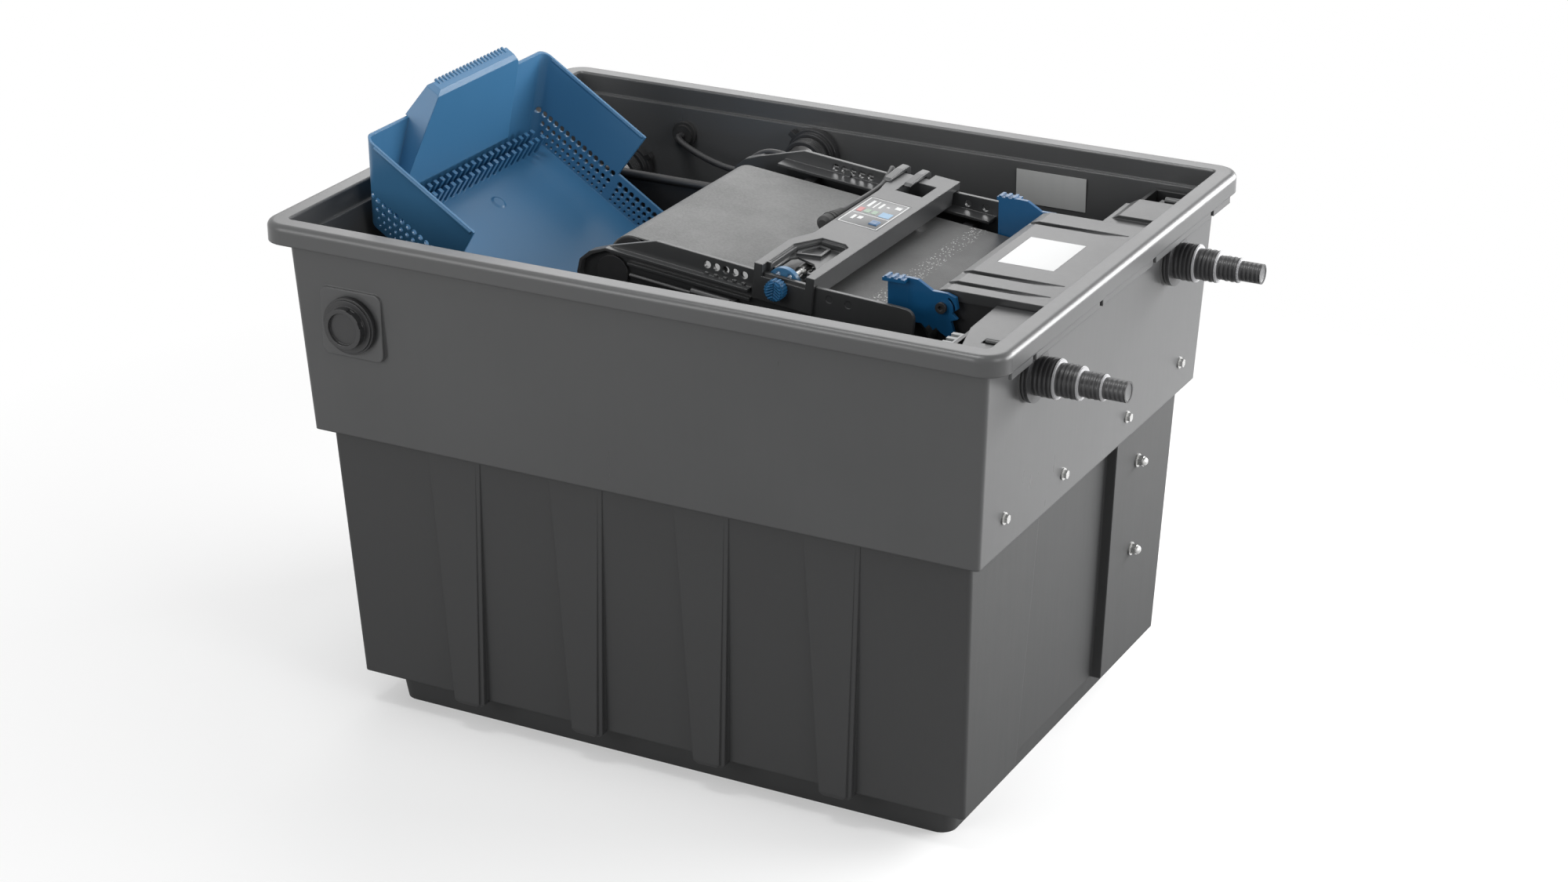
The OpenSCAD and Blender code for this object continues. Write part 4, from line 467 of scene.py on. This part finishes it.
# %% [markdown]
# The screen belt is a very fine woven plastic mesh, wet and a little fouled. Two crossed waves give warp and
# weft for the bump, and past the bridge, where the water lands, a scatter of small droplets sits on it, drawn
# as pale spots that are painted glints.

# %% Woven screen
def weave_of(tree, spot):
    warp, weft = (pattern(tree, "Wave", spot, Scale=190.0, Distortion=0.3) for side in range(2))
    weft.bands_direction = "Y"
    return maths(tree, warp.outputs["Fac"], weft.outputs["Fac"], "MULTIPLY")

def woven_screen():
    material, tree, surface = start_material("Woven screen")
    spot = object_spot(tree)
    x = axes_of(tree, spot)[0]
    weave = weave_of(tree, spot)
    fouling = noise(tree, spot, 14.0, detail=8.0, roughness=0.7)
    grit = noise(tree, spot, 420.0, detail=3.0)
    fouled = spread(tree, fouling, 0.35, 0.7, 0.0, 1.0)
    base = blend_colour(tree, fouled, (0.150, 0.152, 0.150), (0.120, 0.122, 0.121))
    base = blend_colour(tree, spread(tree, grit, 0.40, 0.60, 0.0, 0.40), base, (0.22, 0.223, 0.22))
    base = blend_colour(tree, spread(tree, weave, 0.0, 1.0, 0.30, 0.0), base, (0.06, 0.06, 0.06))
    shore = maths(tree, x, maths(tree, fouling, 0.02, "MULTIPLY"))
    soaked = spread(tree, shore, 0.110, 0.118, 0.0, 0.86)
    base = blend_colour(tree, soaked, base, (0.045, 0.046, 0.046))
    # painted glints: pale droplet spots in a band past the bridge
    drops = pattern(tree, "Voronoi", spot, Scale=330.0).outputs["Distance"]
    line = maths(tree, maths(tree, x, 0.183, "SUBTRACT"), 0.0, "ABSOLUTE")
    here = maths(tree, spread(tree, line, 0.006, 0.011, 1.0, 0.0),
                 spread(tree, noise(tree, spot, 22.0), 0.32, 0.42, 0.0, 1.0), "MULTIPLY")
    painted_droplet_glints = maths(tree, spread(tree, drops, 0.05, 0.34, 1.0, 0.0), here, "MULTIPLY")
    feed(tree, blend_colour(tree, painted_droplet_glints, base, (0.75, 0.75, 0.74)), surface.inputs["Base Color"])
    damp = spread(tree, soaked, 0.0, 1.0, 0.50, 0.43)
    feed(tree, maths(tree, damp, spread(tree, fouling, 0.3, 0.7, -0.04, 0.10)), surface.inputs["Roughness"])
    feed(tree, bumped(tree, maths(tree, weave, grit), 0.35, 0.0003).outputs[0], surface.inputs["Normal"])
    return material

screen_cloth = woven_screen()
print(screen_cloth.name)

# %% [markdown]
# Filter foam is open-cell: thousands of small pits. A Voronoi texture sinks each cell and darkens it with painted
# shade.

# %% Foams and plain films
def open_foam(name, colour, cells):
    material, tree, surface = start_material(name)
    cell = pattern(tree, "Voronoi", object_spot(tree), Scale=cells).outputs["Distance"]
    # painted shade: each foam cell darkens towards its middle
    painted_pit_shade_mask = spread(tree, cell, 0.0, 0.6, 1.0, 0.0)
    painted_pit_shade = tuple(c * 0.3 for c in colour)
    feed(tree, blend_colour(tree, painted_pit_shade_mask, colour, painted_pit_shade), surface.inputs["Base Color"])
    surface.inputs["Roughness"].default_value = 0.95
    feed(tree, bumped(tree, cell, 0.8, 0.002).outputs[0], surface.inputs["Normal"])
    return material

coarse_foam = open_foam("Coarse foam", (0.04, 0.10, 0.20), 180.0)
fine_foam = open_foam("Fine foam", (0.22, 0.05, 0.04), 320.0)

def film(name, colour, roughness, **values):
    return moulded_plastic(name, colour, roughness, edge=0.0002, **values)

white_film = film("White film", (0.70, 0.705, 0.705), 0.45, grain=300, depth=0.05, mottle=0.04)
metal_film = film("Pale metal film", (0.42, 0.425, 0.42), 0.34, grain=500, depth=0.10, mottle=0.25)
panel_film = film("Panel film", (0.115, 0.118, 0.12), 0.32, grain=2000, depth=0.06, mottle=0.05)
print_ink = film("Printed outline", (0.66, 0.665, 0.665), 0.45, depth=0.02)
red_lamp = film("Red lamp", (0.40, 0.09, 0.09), 0.30, depth=0.02)
green_lamp = film("Green lamp", (0.18, 0.27, 0.19), 0.30, depth=0.02)
sky_lamp = film("Pale blue lamp", (0.13, 0.28, 0.44), 0.30, depth=0.02)
print("foams and films ready")

# %% Dress the CAD nodes
finish_of = {
    tank_wall: ["tank"],
    unit_plastic: ["cover_front", "cover_rear", "inlet_lid", "drive_housing", "frame_clips",
                   "side_frame_front", "side_frame_rear"],
    inner_plastic: ["partition_wall", "tray_rack", "unit_beam", "foam_grate", "cartridge_rods", "inlet_box",
                    "box_brackets", "adapter_nuts", "blind_plug", "plug_nut", "outlet_low", "outlet_high",
                    "outlet_nuts", "drain_neck", "belt_slats", "tension_rods", "belt_scraper", "gear_motor",
                    "head_drum", "tail_roller"],
    adapter_plastic: ["adapter_front", "adapter_rear"],
    soft_black: ["drain_cap", "lever_pins", "cable_plug"],
    seal_rubber: ["adapter_seals", "plug_seal", "outlet_seals", "cable_grommet", "cable_gland"],
    cable_jacket: ["cable_inner", "cable_outer", "cable_coil"],
    steel: ["bracket_screws", "stud_nuts", "drive_shaft"],
    tray_plastic: ["dirt_tray", "hand_wheel", "hand_knob"],
    lever_plastic: ["latch_lever_front", "latch_lever_rear", "push_button"],
    pale_plastic: ["inlet_comb"],
    screen_cloth: ["screen_belt"],
    coarse_foam: ["foam_coarse"],
    fine_foam: ["foam_fine"],
    white_film: ["lid_label"],
    metal_film: ["rating_plate"],
    panel_film: ["control_panel"],
}
for finish, names in finish_of.items():
    for name in names:
        mesh = nodes[name].data
        mesh.materials.clear()
        mesh.materials.append(finish)
for cord in (supply_cord, inner_cord):
    cord.data.materials.append(cable_jacket)
missing = set(nodes) - {name for names in finish_of.values() for name in names}
print("dressed", len(nodes) - len(missing), "missing", sorted(missing))

# %% [markdown]
# A new piece gets its finish, its body and the CAD nodes that it stands for in one call.

# %% Hand a piece over to the frame
def hand_over(piece, finish, body, slot_name, *stands_for):
    if finish:
        piece.data.materials.clear()
        piece.data.materials.append(finish)
    if stands_for:
        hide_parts(*stands_for)
    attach(piece, body)
    return piece

def fresh_box(name, low, high, edge=0.0, cuts=2):
    size = [b - a for a, b in zip(low, high)]
    middle = [(a + b) / 2 for a, b in zip(low, high)]
    bpy.ops.mesh.primitive_cube_add(size=1, location=[v * mm for v in middle])
    piece = bpy.context.object
    piece.name = name
    piece.scale = [v * mm for v in size]
    settle(piece)
    if edge:
        keep_modifier(piece, "BEVEL", width=edge * mm, segments=cuts, limit_method="ANGLE")
    return piece

def choose_faces(piece, test):
    bpy.ops.object.mode_set(mode="OBJECT")
    for part in (piece.data.vertices, piece.data.edges, piece.data.polygons):
        for item in part:
            item.select = False
    for face in piece.data.polygons:
        face.select = bool(test(face))
    bpy.ops.object.mode_set(mode="EDIT")
    bpy.context.tool_settings.mesh_select_mode = (False, False, True)

def smooth(piece, degrees=35):
    pick(piece)
    bpy.ops.object.shade_smooth_by_angle(angle=math.radians(degrees))
    return piece

print("hand-over ready")

# %% [markdown]
# The belt is an endless woven screen round two rollers. A circle is pulled apart into a stadium, drawn out to
# its width and given its thickness. A line of edges marks the hem along each side, where it is sewn.

# %% The screen belt
belt_gap, belt_r, belt_t, belt_half, hem = 298.0, 25.0, 1.4, 120.0, 7.0
bpy.ops.mesh.primitive_circle_add(vertices=96, radius=(belt_r - belt_t / 2) * mm, fill_type="NOTHING",
                                  location=(0, -belt_half * mm, 0), rotation=(math.pi / 2, 0, 0))
belt = bpy.context.object
belt.name = "woven_belt"
settle(belt)
bpy.ops.object.mode_set(mode="EDIT")
bpy.ops.mesh.select_all(action="DESELECT")
bpy.ops.object.mode_set(mode="OBJECT")
for corner in belt.data.vertices:
    corner.select = corner.co.x > 1e-5
bpy.ops.object.mode_set(mode="EDIT")
bpy.context.tool_settings.mesh_select_mode = (True, False, False)
bpy.ops.transform.translate(value=(belt_gap * mm, 0, 0))
bpy.ops.object.mode_set(mode="OBJECT")
for edge in belt.data.edges:
    ends = [belt.data.vertices[i].co.x for i in edge.vertices]
    edge.select = abs(ends[0] - ends[1]) > 0.1
bpy.ops.object.mode_set(mode="EDIT")
bpy.context.tool_settings.mesh_select_mode = (False, True, False)
bpy.ops.mesh.subdivide(number_cuts=20)
bpy.ops.mesh.select_all(action="SELECT")
bpy.ops.mesh.extrude_region_move(TRANSFORM_OT_translate={"value": (0, 2 * belt_half * mm, 0)})
for y in (-belt_half + hem, belt_half - hem):
    bpy.ops.mesh.select_all(action="SELECT")
    bpy.ops.mesh.bisect(plane_co=(0, y * mm, 0), plane_no=(0, 1, 0))
bpy.ops.mesh.select_all(action="SELECT")
bpy.ops.mesh.normals_make_consistent(inside=False)
bpy.ops.object.mode_set(mode="OBJECT")
keep_modifier(belt, "SOLIDIFY", thickness=belt_t * mm, offset=0.0)
smooth(tilt_with_unit(belt), 40)
hand_over(belt, screen_cloth, "tank_body", "belt_mesh", "screen_belt")
print("belt faces", len(belt.data.polygons))

# %% [markdown]
# A foam cartridge is a soft block with a bore for its tube. A bevelled block is remeshed evenly, and a noise
# pushes its skin in a little, so that no face is dead flat. One helper builds each of the eight blocks in its
# place.

# %% Foam cartridges
cart_w, cart_l, cart_low, cart_high, tube_r = 121.0, 194.0, 52.6, 344.0, 8.4
first_x, first_y, pitch_x, pitch_y = -247.5, -117.0, 133, 206
cells = bpy.data.textures.new("foam unevenness", "CLOUDS")
cells.noise_scale = 0.03

def foam_cartridge(name, x, y):
    block = fresh_box(name, (x - cart_w / 2, y - cart_l / 2, cart_low),
                      (x + cart_w / 2, y + cart_l / 2, cart_high), edge=9, cuts=3)
    keep_modifier(block, "REMESH", mode="VOXEL", voxel_size=0.006)
    keep_modifier(block, "DISPLACE", texture=cells, strength=0.004, mid_level=1.0, texture_coords="GLOBAL")
    bpy.ops.mesh.primitive_cylinder_add(vertices=32, radius=tube_r * mm, depth=0.4,
                                        location=(x * mm, y * mm, 0.2))
    cutter = bpy.context.object
    keep_modifier(block, "BOOLEAN", operation="DIFFERENCE", object=cutter, solver="EXACT")
    pick(cutter)
    bpy.ops.object.delete()
    smooth(block, 50)
    return block

coarse_blocks, fine_blocks = [], []
for i in range(4):
    for j in range(2):
        coarse = (i + j) % 2 == 0
        name = f"{'coarse' if coarse else 'fine'}_cartridge_{i}{j}"
        block = foam_cartridge(name, first_x + pitch_x * i, first_y + pitch_y * j)
        (coarse_blocks if coarse else fine_blocks).append(block)
for blocks, finish, slot_name, node in ((coarse_blocks, coarse_foam, "foam_blue", "foam_coarse"),
                                        (fine_blocks, fine_foam, "foam_red", "foam_fine")):
    for block in blocks:
        hand_over(block, finish, "tank_body", slot_name, *([node] if block is blocks[0] else []))
print("cartridges", len(coarse_blocks), len(fine_blocks))

# %% [markdown]
# The control panel is a film with a raised white outline, a dividing line and a few plain indicator windows.
# It carries no words: the places where a maker would print them stay bare.

# %% The control panel
panel_seat, bridge_top = 51.4, 52.0
panel = fresh_box("panel_plate", (162.7, -13.8, panel_seat), (207.3, 63.8, bridge_top), edge=0.5)
tilt_with_unit(panel)
hand_over(smooth(panel), panel_film, "tank_body", "label_film", "control_panel")
outline_parts = [((164.0, -12.6), (165.0, 62.6)), ((205.0, -12.6), (206.0, 62.6)),
                 ((164.0, -12.6), (206.0, -11.6)), ((164.0, 61.6), (206.0, 62.6)), ((164.0, 17.0), (206.0, 18.0)),
                 ((170.0, 38.0), (173.0, 56.0)), ((176.5, 38.0), (178.0, 56.0)), ((181.5, 40.0), (184.0, 54.0)),
                 ((188.0, 46.0), (191.0, 49.0)), ((196.0, 48.0), (202.0, 55.0)), ((171.0, 0.0), (174.0, 11.0)),
                 ((176.5, 4.0), (181.0, 11.0))]
marks = [fresh_box("panel_mark", (*a, bridge_top - 0.1), (*b, bridge_top + 0.12)) for a, b in outline_parts]
pick(*marks)
bpy.ops.object.join()
marks = bpy.context.object
marks.name = "panel_marks"
tilt_with_unit(marks)
hand_over(marks, print_ink, "tank_body", "label_film")
for name, (a, b), finish in (("red_window", ((166.5, 21.5), (172.0, 33.0)), red_lamp),
                             ("green_window_1", ((174.0, 22.5), (180.0, 32.0)), green_lamp),
                             ("green_window_2", ((182.0, 22.5), (187.5, 32.0)), green_lamp),
                             ("blue_window", ((191.0, 20.5), (202.5, 33.5)), sky_lamp)):
    window = fresh_box(name, (*a, bridge_top - 0.2), (*b, bridge_top + 0.25), edge=0.2)
    tilt_with_unit(window)
    hand_over(window, finish, "tank_body", "label_film")
print("panel built")

# %% [markdown]
# The button's cap has soft edges and a shallow dish for the fingertip: bevel, inset the top, push it down.

# %% The push button
button = fresh_box("button_cap", (192.6, -3.4, 46.2), (201.4, 7.4, 53.5), edge=0.9, cuts=3)
choose_faces(button, lambda f: f.normal.z > 0.99)
bpy.ops.mesh.inset(thickness=1.2 * mm)
bpy.ops.transform.translate(value=(0, 0, -0.15 * mm))
bpy.ops.object.mode_set(mode="OBJECT")
tilt_with_unit(button)
hand_over(smooth(button, 50), lever_plastic, "button", "blue_plastic", "push_button")
print("button built")

# %% [markdown]
# The drive's bridge is one moulding full of steps: a fork round the hand wheel, a window, a seat for the panel.
# Such a piece is quickest as a sum of plain prisms and cuts, as its mould is made. A prism starts as a filled
# circle with as many corners as the outline has; the corners go to their places and the face is drawn out.

# %% Prisms, rods and cuts
def drawn_out(name, outline, low, high, axis="Z"):
    bpy.ops.object.select_all(action="DESELECT")
    bpy.ops.mesh.primitive_circle_add(vertices=len(outline), radius=0.01, fill_type="NGON", location=(0, 0, 0))
    piece = bpy.context.object
    piece.name = name
    order = {"X": lambda a, b: (low, a, b), "Y": lambda a, b: (a, low, b), "Z": lambda a, b: (a, b, low)}[axis]
    for corner, (a, b) in zip(piece.data.vertices, outline):
        corner.co = Vector(order(a, b)) * mm
    way = {"X": (1, 0, 0), "Y": (0, 1, 0), "Z": (0, 0, 1)}[axis]
    bpy.ops.object.mode_set(mode="EDIT")
    bpy.ops.mesh.select_all(action="SELECT")
    bpy.ops.mesh.extrude_region_move(TRANSFORM_OT_translate={"value": [v * (high - low) * mm for v in way]})
    bpy.ops.mesh.select_all(action="SELECT")
    bpy.ops.mesh.normals_make_consistent(inside=False)
    bpy.ops.object.mode_set(mode="OBJECT")
    return piece

shaft_u, shaft_w = 178, 33

def on_shaft(v):
    return (shaft_u, v, shaft_w)

def slab(name, low, high):
    (x0, y0, z0), (x1, y1, z1) = low, high
    return drawn_out(name, [(x0, y0), (x1, y0), (x1, y1), (x0, y1)], z0, z1)

def rod(name, radius, start, end, axis="Y", sides=32):
    middle = [(a + b) / 2 * mm for a, b in zip(start, end)]
    length = (Vector(end) - Vector(start)).length * mm
    turn = {"X": (0, math.pi / 2, 0), "Y": (math.pi / 2, 0, 0)}[axis]
    bpy.ops.object.select_all(action="DESELECT")
    bpy.ops.mesh.primitive_cylinder_add(vertices=sides, radius=radius * mm, depth=length, location=middle,
                                        rotation=turn)
    bpy.context.object.name = name
    return settle(bpy.context.object)

def shaped_by(piece, kind, *others):
    for other in others:
        keep_modifier(piece, "BOOLEAN", operation=kind, object=other, solver="EXACT")
        pick(other)
        bpy.ops.object.delete()
    return piece

def rounded(piece, width, cuts=2, degrees=40):
    keep_modifier(piece, "BEVEL", width=width * mm, segments=cuts, limit_method="ANGLE",
                  angle_limit=math.radians(degrees))
    bpy.ops.object.shade_flat()
    return piece

print("prism helpers ready")

# %% The bridge's body
post_u, web_w, near_v = (159.5, 206.0), 41.4, -158.4
bridge_line = [(151, near_v), (214.5, near_v), (215.5, 144), (157, 144), (157, 108), (161, 84), (161, -56),
               (150, -86), (151, -140)]
bridge = drawn_out("bridge_housing", bridge_line, 31, bridge_top)
shaped_by(bridge, "UNION",
          slab("cheek", (151, near_v, 16), (214.5, -155.4, 50)),
          slab("far_top", (188, 143, 43.8), (215.5, 159, bridge_top)),
          slab("far_cheek", (188, 155.8, 31), (215.5, 159, 51)))
shaped_by(bridge, "DIFFERENCE",
          slab("hollow_1", (164, -56, 30), (211.5, 104, 49)),
          slab("hollow_2", (164, 132, 30), (211.5, 141, 49)),
          slab("hollow_3", (154, -112, 30), (211.5, -60, web_w)),
          slab("hollow_4", (154, -150.7, 30), (211.5, -108, web_w)),
          slab("frame_slot", (142, -155.4, 30), (224, -150.7, 43.4)))
print("bridge faces", len(bridge.data.polygons))

# %% Its fork, window and seats
def fork_outline(grow):
    a, b = 163.0, 202.0
    return [(a - grow, -146.4), (a - 1 - grow, -93 - grow / 2), (a + 11, -66 + grow), (b - 3, -66 + grow),
            (b + grow, -69), (b + grow, -146.4)]

wheel_pit = [(163.5, -151), (163.5, -110), (168.5, -102), (189, -108), (202, -126), (202, -151)]
shaped_by(bridge, "DIFFERENCE",
          drawn_out("fork_step", fork_outline(3.0), 49.6, 60),
          drawn_out("fork", fork_outline(0.0), 43.6, 60),
          drawn_out("wheel_pit", wheel_pit, web_w - 2, 60),
          slab("post_gap", (post_u[0], -175, 40), (post_u[1], -148.7, 60)),
          slab("window", (174, 95, 30), (203.5, 129, 60)),
          slab("panel_seat", (162.5, -14, panel_seat), (207.5, 64, 60)),
          slab("button_hole", (192.2, -3.8, 40), (201.8, 7.8, 60)),
          rod("shaft_hole", 4.4, on_shaft(-161), on_shaft(142)),
          rod("wheel_space", 19, on_shaft(-150.2), on_shaft(-139), sides=48))
ridge_line = [(164, -94), (174.5, -67.5), (187.5, -70), (188, -92), (166, -101)]
ridge_in = [(168, -93.5), (176.3, -71.5), (184.5, -73), (185, -89.8), (168.6, -96.8)]
ridge = shaped_by(drawn_out("web_ridge", ridge_line, 43.2, 46.4), "DIFFERENCE",
                  drawn_out("ridge_in", ridge_in, 42, 48))
shaped_by(bridge, "UNION", ridge)
rounded(bridge, 0.7)
tilt_with_unit(bridge)
hand_over(bridge, unit_plastic, "tank_body", "dark_plastic", "drive_housing")
print("fork and window cut,", len(bridge.data.polygons), "faces")

# %% [markdown]
# Two spring fingers on the far end snap over the rear side frame. One outline in the side view makes the
# finger; it is copied for the second, with its own mesh, and each foot sits on the bridge.

# %% The spring fingers
finger_line = [(0, 0.2), (4, 2.8), (30, 4.8), (44, 4.4), (48, 2), (49.5, -3), (49, -22), (46, -22), (45.6, -8.6),
               (40, -8.2), (38, 0.2)]
finger_v = 110.4
finger_side = [(finger_v + a, bridge_top + b) for a, b in finger_line]
pick(*[drawn_out("spring_finger", finger_side, u - 4, u + 4.4, axis="X") for u in (156.0, 178.6)])
bpy.ops.object.join()
fingers = bpy.context.object
fingers.name = "spring_fingers"
rounded(fingers, 0.9, cuts=3)
tilt_with_unit(fingers)
hand_over(fingers, unit_plastic, "tank_body", "dark_plastic", "frame_clips")
print("fingers", len(fingers.data.polygons))

# %% [markdown]
# The hand knob is a short cylinder. Every other face of its rim is drawn out for grip, and rows of slanted
# bars on its face point the way to turn. It sits on the shaft, whose pinions drive the belt's edge.

# %% The hand knob
def toothed(name, radius, tooth, count, start, end):
    wheel = rod(name, radius, start, end, sides=2 * count)
    choose_faces(wheel, lambda f: abs(f.normal.y) < 0.5 and f.index % 2 == 0)
    bpy.ops.mesh.extrude_faces_move(TRANSFORM_OT_shrink_fatten={"value": -tooth * mm})
    bpy.ops.object.mode_set(mode="OBJECT")
    return wheel

knob_back, knob_face = -158.8, -167.6
knob = toothed("grip_knob", 10.4, 0.9, 20, on_shaft(knob_back), on_shaft(knob_face))
bars = []
for row in (-7.2, -4.4, -1.6, 1.2, 4.0, 6.8):
    reach = 0.42 * math.sqrt(9.6 ** 2 - row ** 2)
    for side in (-1, 1):
        bar = slab("knob_bar", (-reach, -0.7, -1.3), (reach, 0.7, 1.3))
        bar.rotation_euler = (math.pi / 2, 0, 0)
        settle(bar)
        bar.rotation_euler = (0, side * math.radians(32), 0)
        bar.location = ((shaft_u + side * reach) * mm, knob_face * mm, (shaft_w + row) * mm)
        settle(bar)
        bars.append(bar)
shaped_by(knob, "DIFFERENCE", rod("knob_bore", 4.05, on_shaft(-158), on_shaft(-164.8)))
pick(knob, *bars)
bpy.ops.object.join()
rounded(knob, 0.25, cuts=2, degrees=30)
tilt_with_unit(knob)
hand_over(knob, knob_plastic, "drive", "blue_plastic", "hand_knob")
print("knob faces", len(knob.data.polygons))

# %% The drive shaft and its pinions
shaft = rod("pinion_shaft", 4.0, on_shaft(-164.6), on_shaft(112))
for v in (-112, -40, 88):
    shaped_by(shaft, "UNION", toothed("pinion", 6.6, 1.0, 14, on_shaft(v), on_shaft(v + 12)))
rounded(shaft, 0.2, cuts=1)
tilt_with_unit(shaft)
hand_over(shaft, steel, "drive", "stainless", "drive_shaft")
print("shaft faces", len(shaft.data.polygons))

# %% [markdown]
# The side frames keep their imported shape, apart from a narrower ledge along the belt and, on the near one, two
# holes that it doesn't have. A copy of the node's mesh is merged, cut with a long block and plugged; the node
# itself is never touched.

# %% The side frames
def merged_copy(node, name):
    piece = bpy.data.objects.new(name, nodes[node].data.copy())
    bpy.context.scene.collection.objects.link(piece)
    pick(piece)
    bpy.ops.object.mode_set(mode="EDIT")
    bpy.ops.mesh.select_all(action="SELECT")
    bpy.ops.mesh.remove_doubles(threshold=0.000002)
    bpy.ops.object.mode_set(mode="OBJECT")
    return piece

for node, side in (("side_frame_front", -1), ("side_frame_rear", 1)):
    piece = merged_copy(node, node.replace("side_frame", "frame_side"))
    near, far = sorted((side * 100.0, side * 134.0))
    shaped_by(piece, "DIFFERENCE", tilt_with_unit(slab("ledge_cut", (-40, near, 24.5), (310, far, 36))))
    if side < 0:
        shaped_by(piece, "UNION", *[tilt_with_unit(rod("plug", 5, (u, -154.7, 35), (u, -151.2, 35)))
                                    for u in (230, 250)])
    pick(piece)
    bpy.ops.object.shade_flat()
    hand_over(piece, unit_plastic, "tank_body", "dark_plastic", node)
    print(piece.name, len(piece.data.polygons))

# %% [markdown]
# Two covers close the corners beside the lid. The near one has a slanted edge and a pin in a short slot, the
# far one climbs a step and carries a small round peg, so that both can be lifted off by hand.

# %% The corner covers
low, high = ([v / mm for v in corner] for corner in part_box("cover_front"))
cover_z, wall_x = low[2], high[0]
near_outline = [(312, -122), (wall_x, -122), (wall_x, -236), (337, -236), (325, -226), (314, -184)]
front_cover = drawn_out("near_cover", near_outline, cover_z, cover_z + 4)
shaped_by(front_cover, "DIFFERENCE", slab("pin_slot", (338, -213.5, cover_z + 1.2), (wall_x + 1, -202.5, 530)))
shaped_by(front_cover, "UNION", rod("pin", 3.4, (341, -208, cover_z + 4), (wall_x, -208, cover_z + 4), axis="X"))
hand_over(rounded(front_cover, 0.6), unit_plastic, "tank_body", "dark_plastic", "cover_front")
rear_cover = slab("far_cover", (307, 122, cover_z), (wall_x, 198, cover_z + 4))
step_side = [(306, cover_z + 1), (wall_x, cover_z + 1), (wall_x, cover_z + 8), (319, cover_z + 8)]
shaped_by(rear_cover, "UNION",
          drawn_out("step", step_side, 150, 204, axis="Y"),
          slab("tongue", (334, 203, cover_z), (wall_x, 226, cover_z + 3)),
          rod("peg", 3.6, (341, 218, cover_z + 5.6), (wall_x, 218, cover_z + 5.6), axis="X"))
hand_over(rounded(rear_cover, 0.6), unit_plastic, "tank_body", "dark_plastic", "cover_rear")
print("covers at", round(cover_z, 2))

# %% [markdown]
# The adapters' tips stay closed until a hose is chosen and the tip is sawn off at its size: a thin dished
# membrane closes each bore.

# %% The adapters' closed tips
for node in ("adapter_front", "adapter_rear"):
    low, high = ([v / mm for v in corner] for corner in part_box(node))
    y, z = (low[1] + high[1]) / 2, (low[2] + high[2]) / 2
    tip = rod(node + "_tip", 8.3, (high[0] - 3.2, y, z), (high[0] - 0.3, y, z), axis="X", sides=48)
    choose_faces(tip, lambda f: f.normal.x > 0.9)
    bpy.ops.mesh.inset(thickness=1.4 * mm)
    bpy.ops.transform.translate(value=(-0.5 * mm, 0, 0))
    bpy.ops.object.mode_set(mode="OBJECT")
    hand_over(smooth(tip), tip_plastic, "tank_body", "soft_black")
print("tips closed")

# %% [markdown]
# The stage is a plain pale floor under a white surround. The surround is white to the camera and in mirrors,
# and gives only part of that light to the object. Five soft lamps do the rest: a low wide one beside the short
# end wall, a key from the right, one overhead, one high behind, and a broad one from the front.

# %% Floor, surround and lamps
bpy.ops.mesh.primitive_plane_add(size=30, location=(0, 0, 0))
floor = bpy.context.object
floor.name = "studio_floor"

def floor_finish():
    material, tree, surface = start_material("Studio floor")
    rays = place(tree, "ShaderNodeLightPath")
    feed(tree, blend_colour(tree, rays.outputs["Is Camera Ray"], (0.45, 0.45, 0.45), (0.88, 0.88, 0.88)),
         surface.inputs["Base Color"])
    surface.inputs["Roughness"].default_value = 0.9
    reach = place(tree, "ShaderNodeVectorMath", operation="LENGTH")
    feed(tree, object_spot(tree), reach.inputs[0])
    away = reach.outputs["Value"]
    seen_white = maths(tree, spread(tree, away, 0.55, 1.25, 0.35, 1.0), rays.outputs["Is Camera Ray"], "MULTIPLY")
    mirrored_white = maths(tree, spread(tree, away, 0.70, 1.60, 0.10, 1.0), rays.outputs["Is Glossy Ray"],
                           "MULTIPLY")
    white = place(tree, "ShaderNodeEmission")
    mixed = place(tree, "ShaderNodeMixShader")
    feed(tree, maths(tree, seen_white, mirrored_white), mixed.inputs[0])
    feed(tree, surface.outputs[0], mixed.inputs[1])
    feed(tree, white.outputs[0], mixed.inputs[2])
    sink = next(n for n in tree.nodes if n.type == "OUTPUT_MATERIAL")
    feed(tree, mixed.outputs[0], sink.inputs["Surface"])
    return material

floor.data.materials.append(floor_finish())

world = bpy.data.worlds.new("Studio surround")
bpy.context.scene.world = world
world.use_nodes = True
tree = world.node_tree
back = tree.nodes["Background"]
back.inputs["Color"].default_value = (1, 1, 1, 1)
rays = place(tree, "ShaderNodeLightPath")
seen = maths(tree, rays.outputs["Is Camera Ray"], rays.outputs["Is Glossy Ray"], "MAXIMUM")
seen = maths(tree, seen, rays.outputs["Is Transmission Ray"], "MAXIMUM")
feed(tree, spread(tree, seen, 0.0, 1.0, 0.34, 1.0), back.inputs["Strength"])

def soft_lamp(name, spot, aim, size, power, height=None):
    bpy.ops.object.light_add(type="AREA", location=spot)
    lamp = bpy.context.object
    lamp.name = name
    lamp.data.size = size
    if height:
        lamp.data.shape = "RECTANGLE"
        lamp.data.size_y = height
    lamp.visible_camera = False
    lamp.data.energy = power
    lamp.rotation_euler = (Vector(aim) - Vector(spot)).to_track_quat("-Z", "Y").to_euler()

soft_lamp("side_wall", (1.22, 0.85, 0.66), (0.35, 0.0, 0.40), 1.7, 42, height=0.62)
soft_lamp("key_right", (2.6, -0.9, 1.5), (0.3, 0, 0.35), 1.2, 20)
soft_lamp("overhead_back", (-1.3, 2.5, 2.0), (0, 0, 0.45), 2.0, 22)
soft_lamp("overhead", (-0.4, -0.6, 2.8), (0, 0, 0.3), 0.9, 26)
soft_lamp("front_fill", (-1.6, -3.0, 1.3), (0, 0, 0.3), 1.8, 46)
print("stage lit")

# %% Colour management
bpy.context.scene.view_settings.view_transform = "Standard"
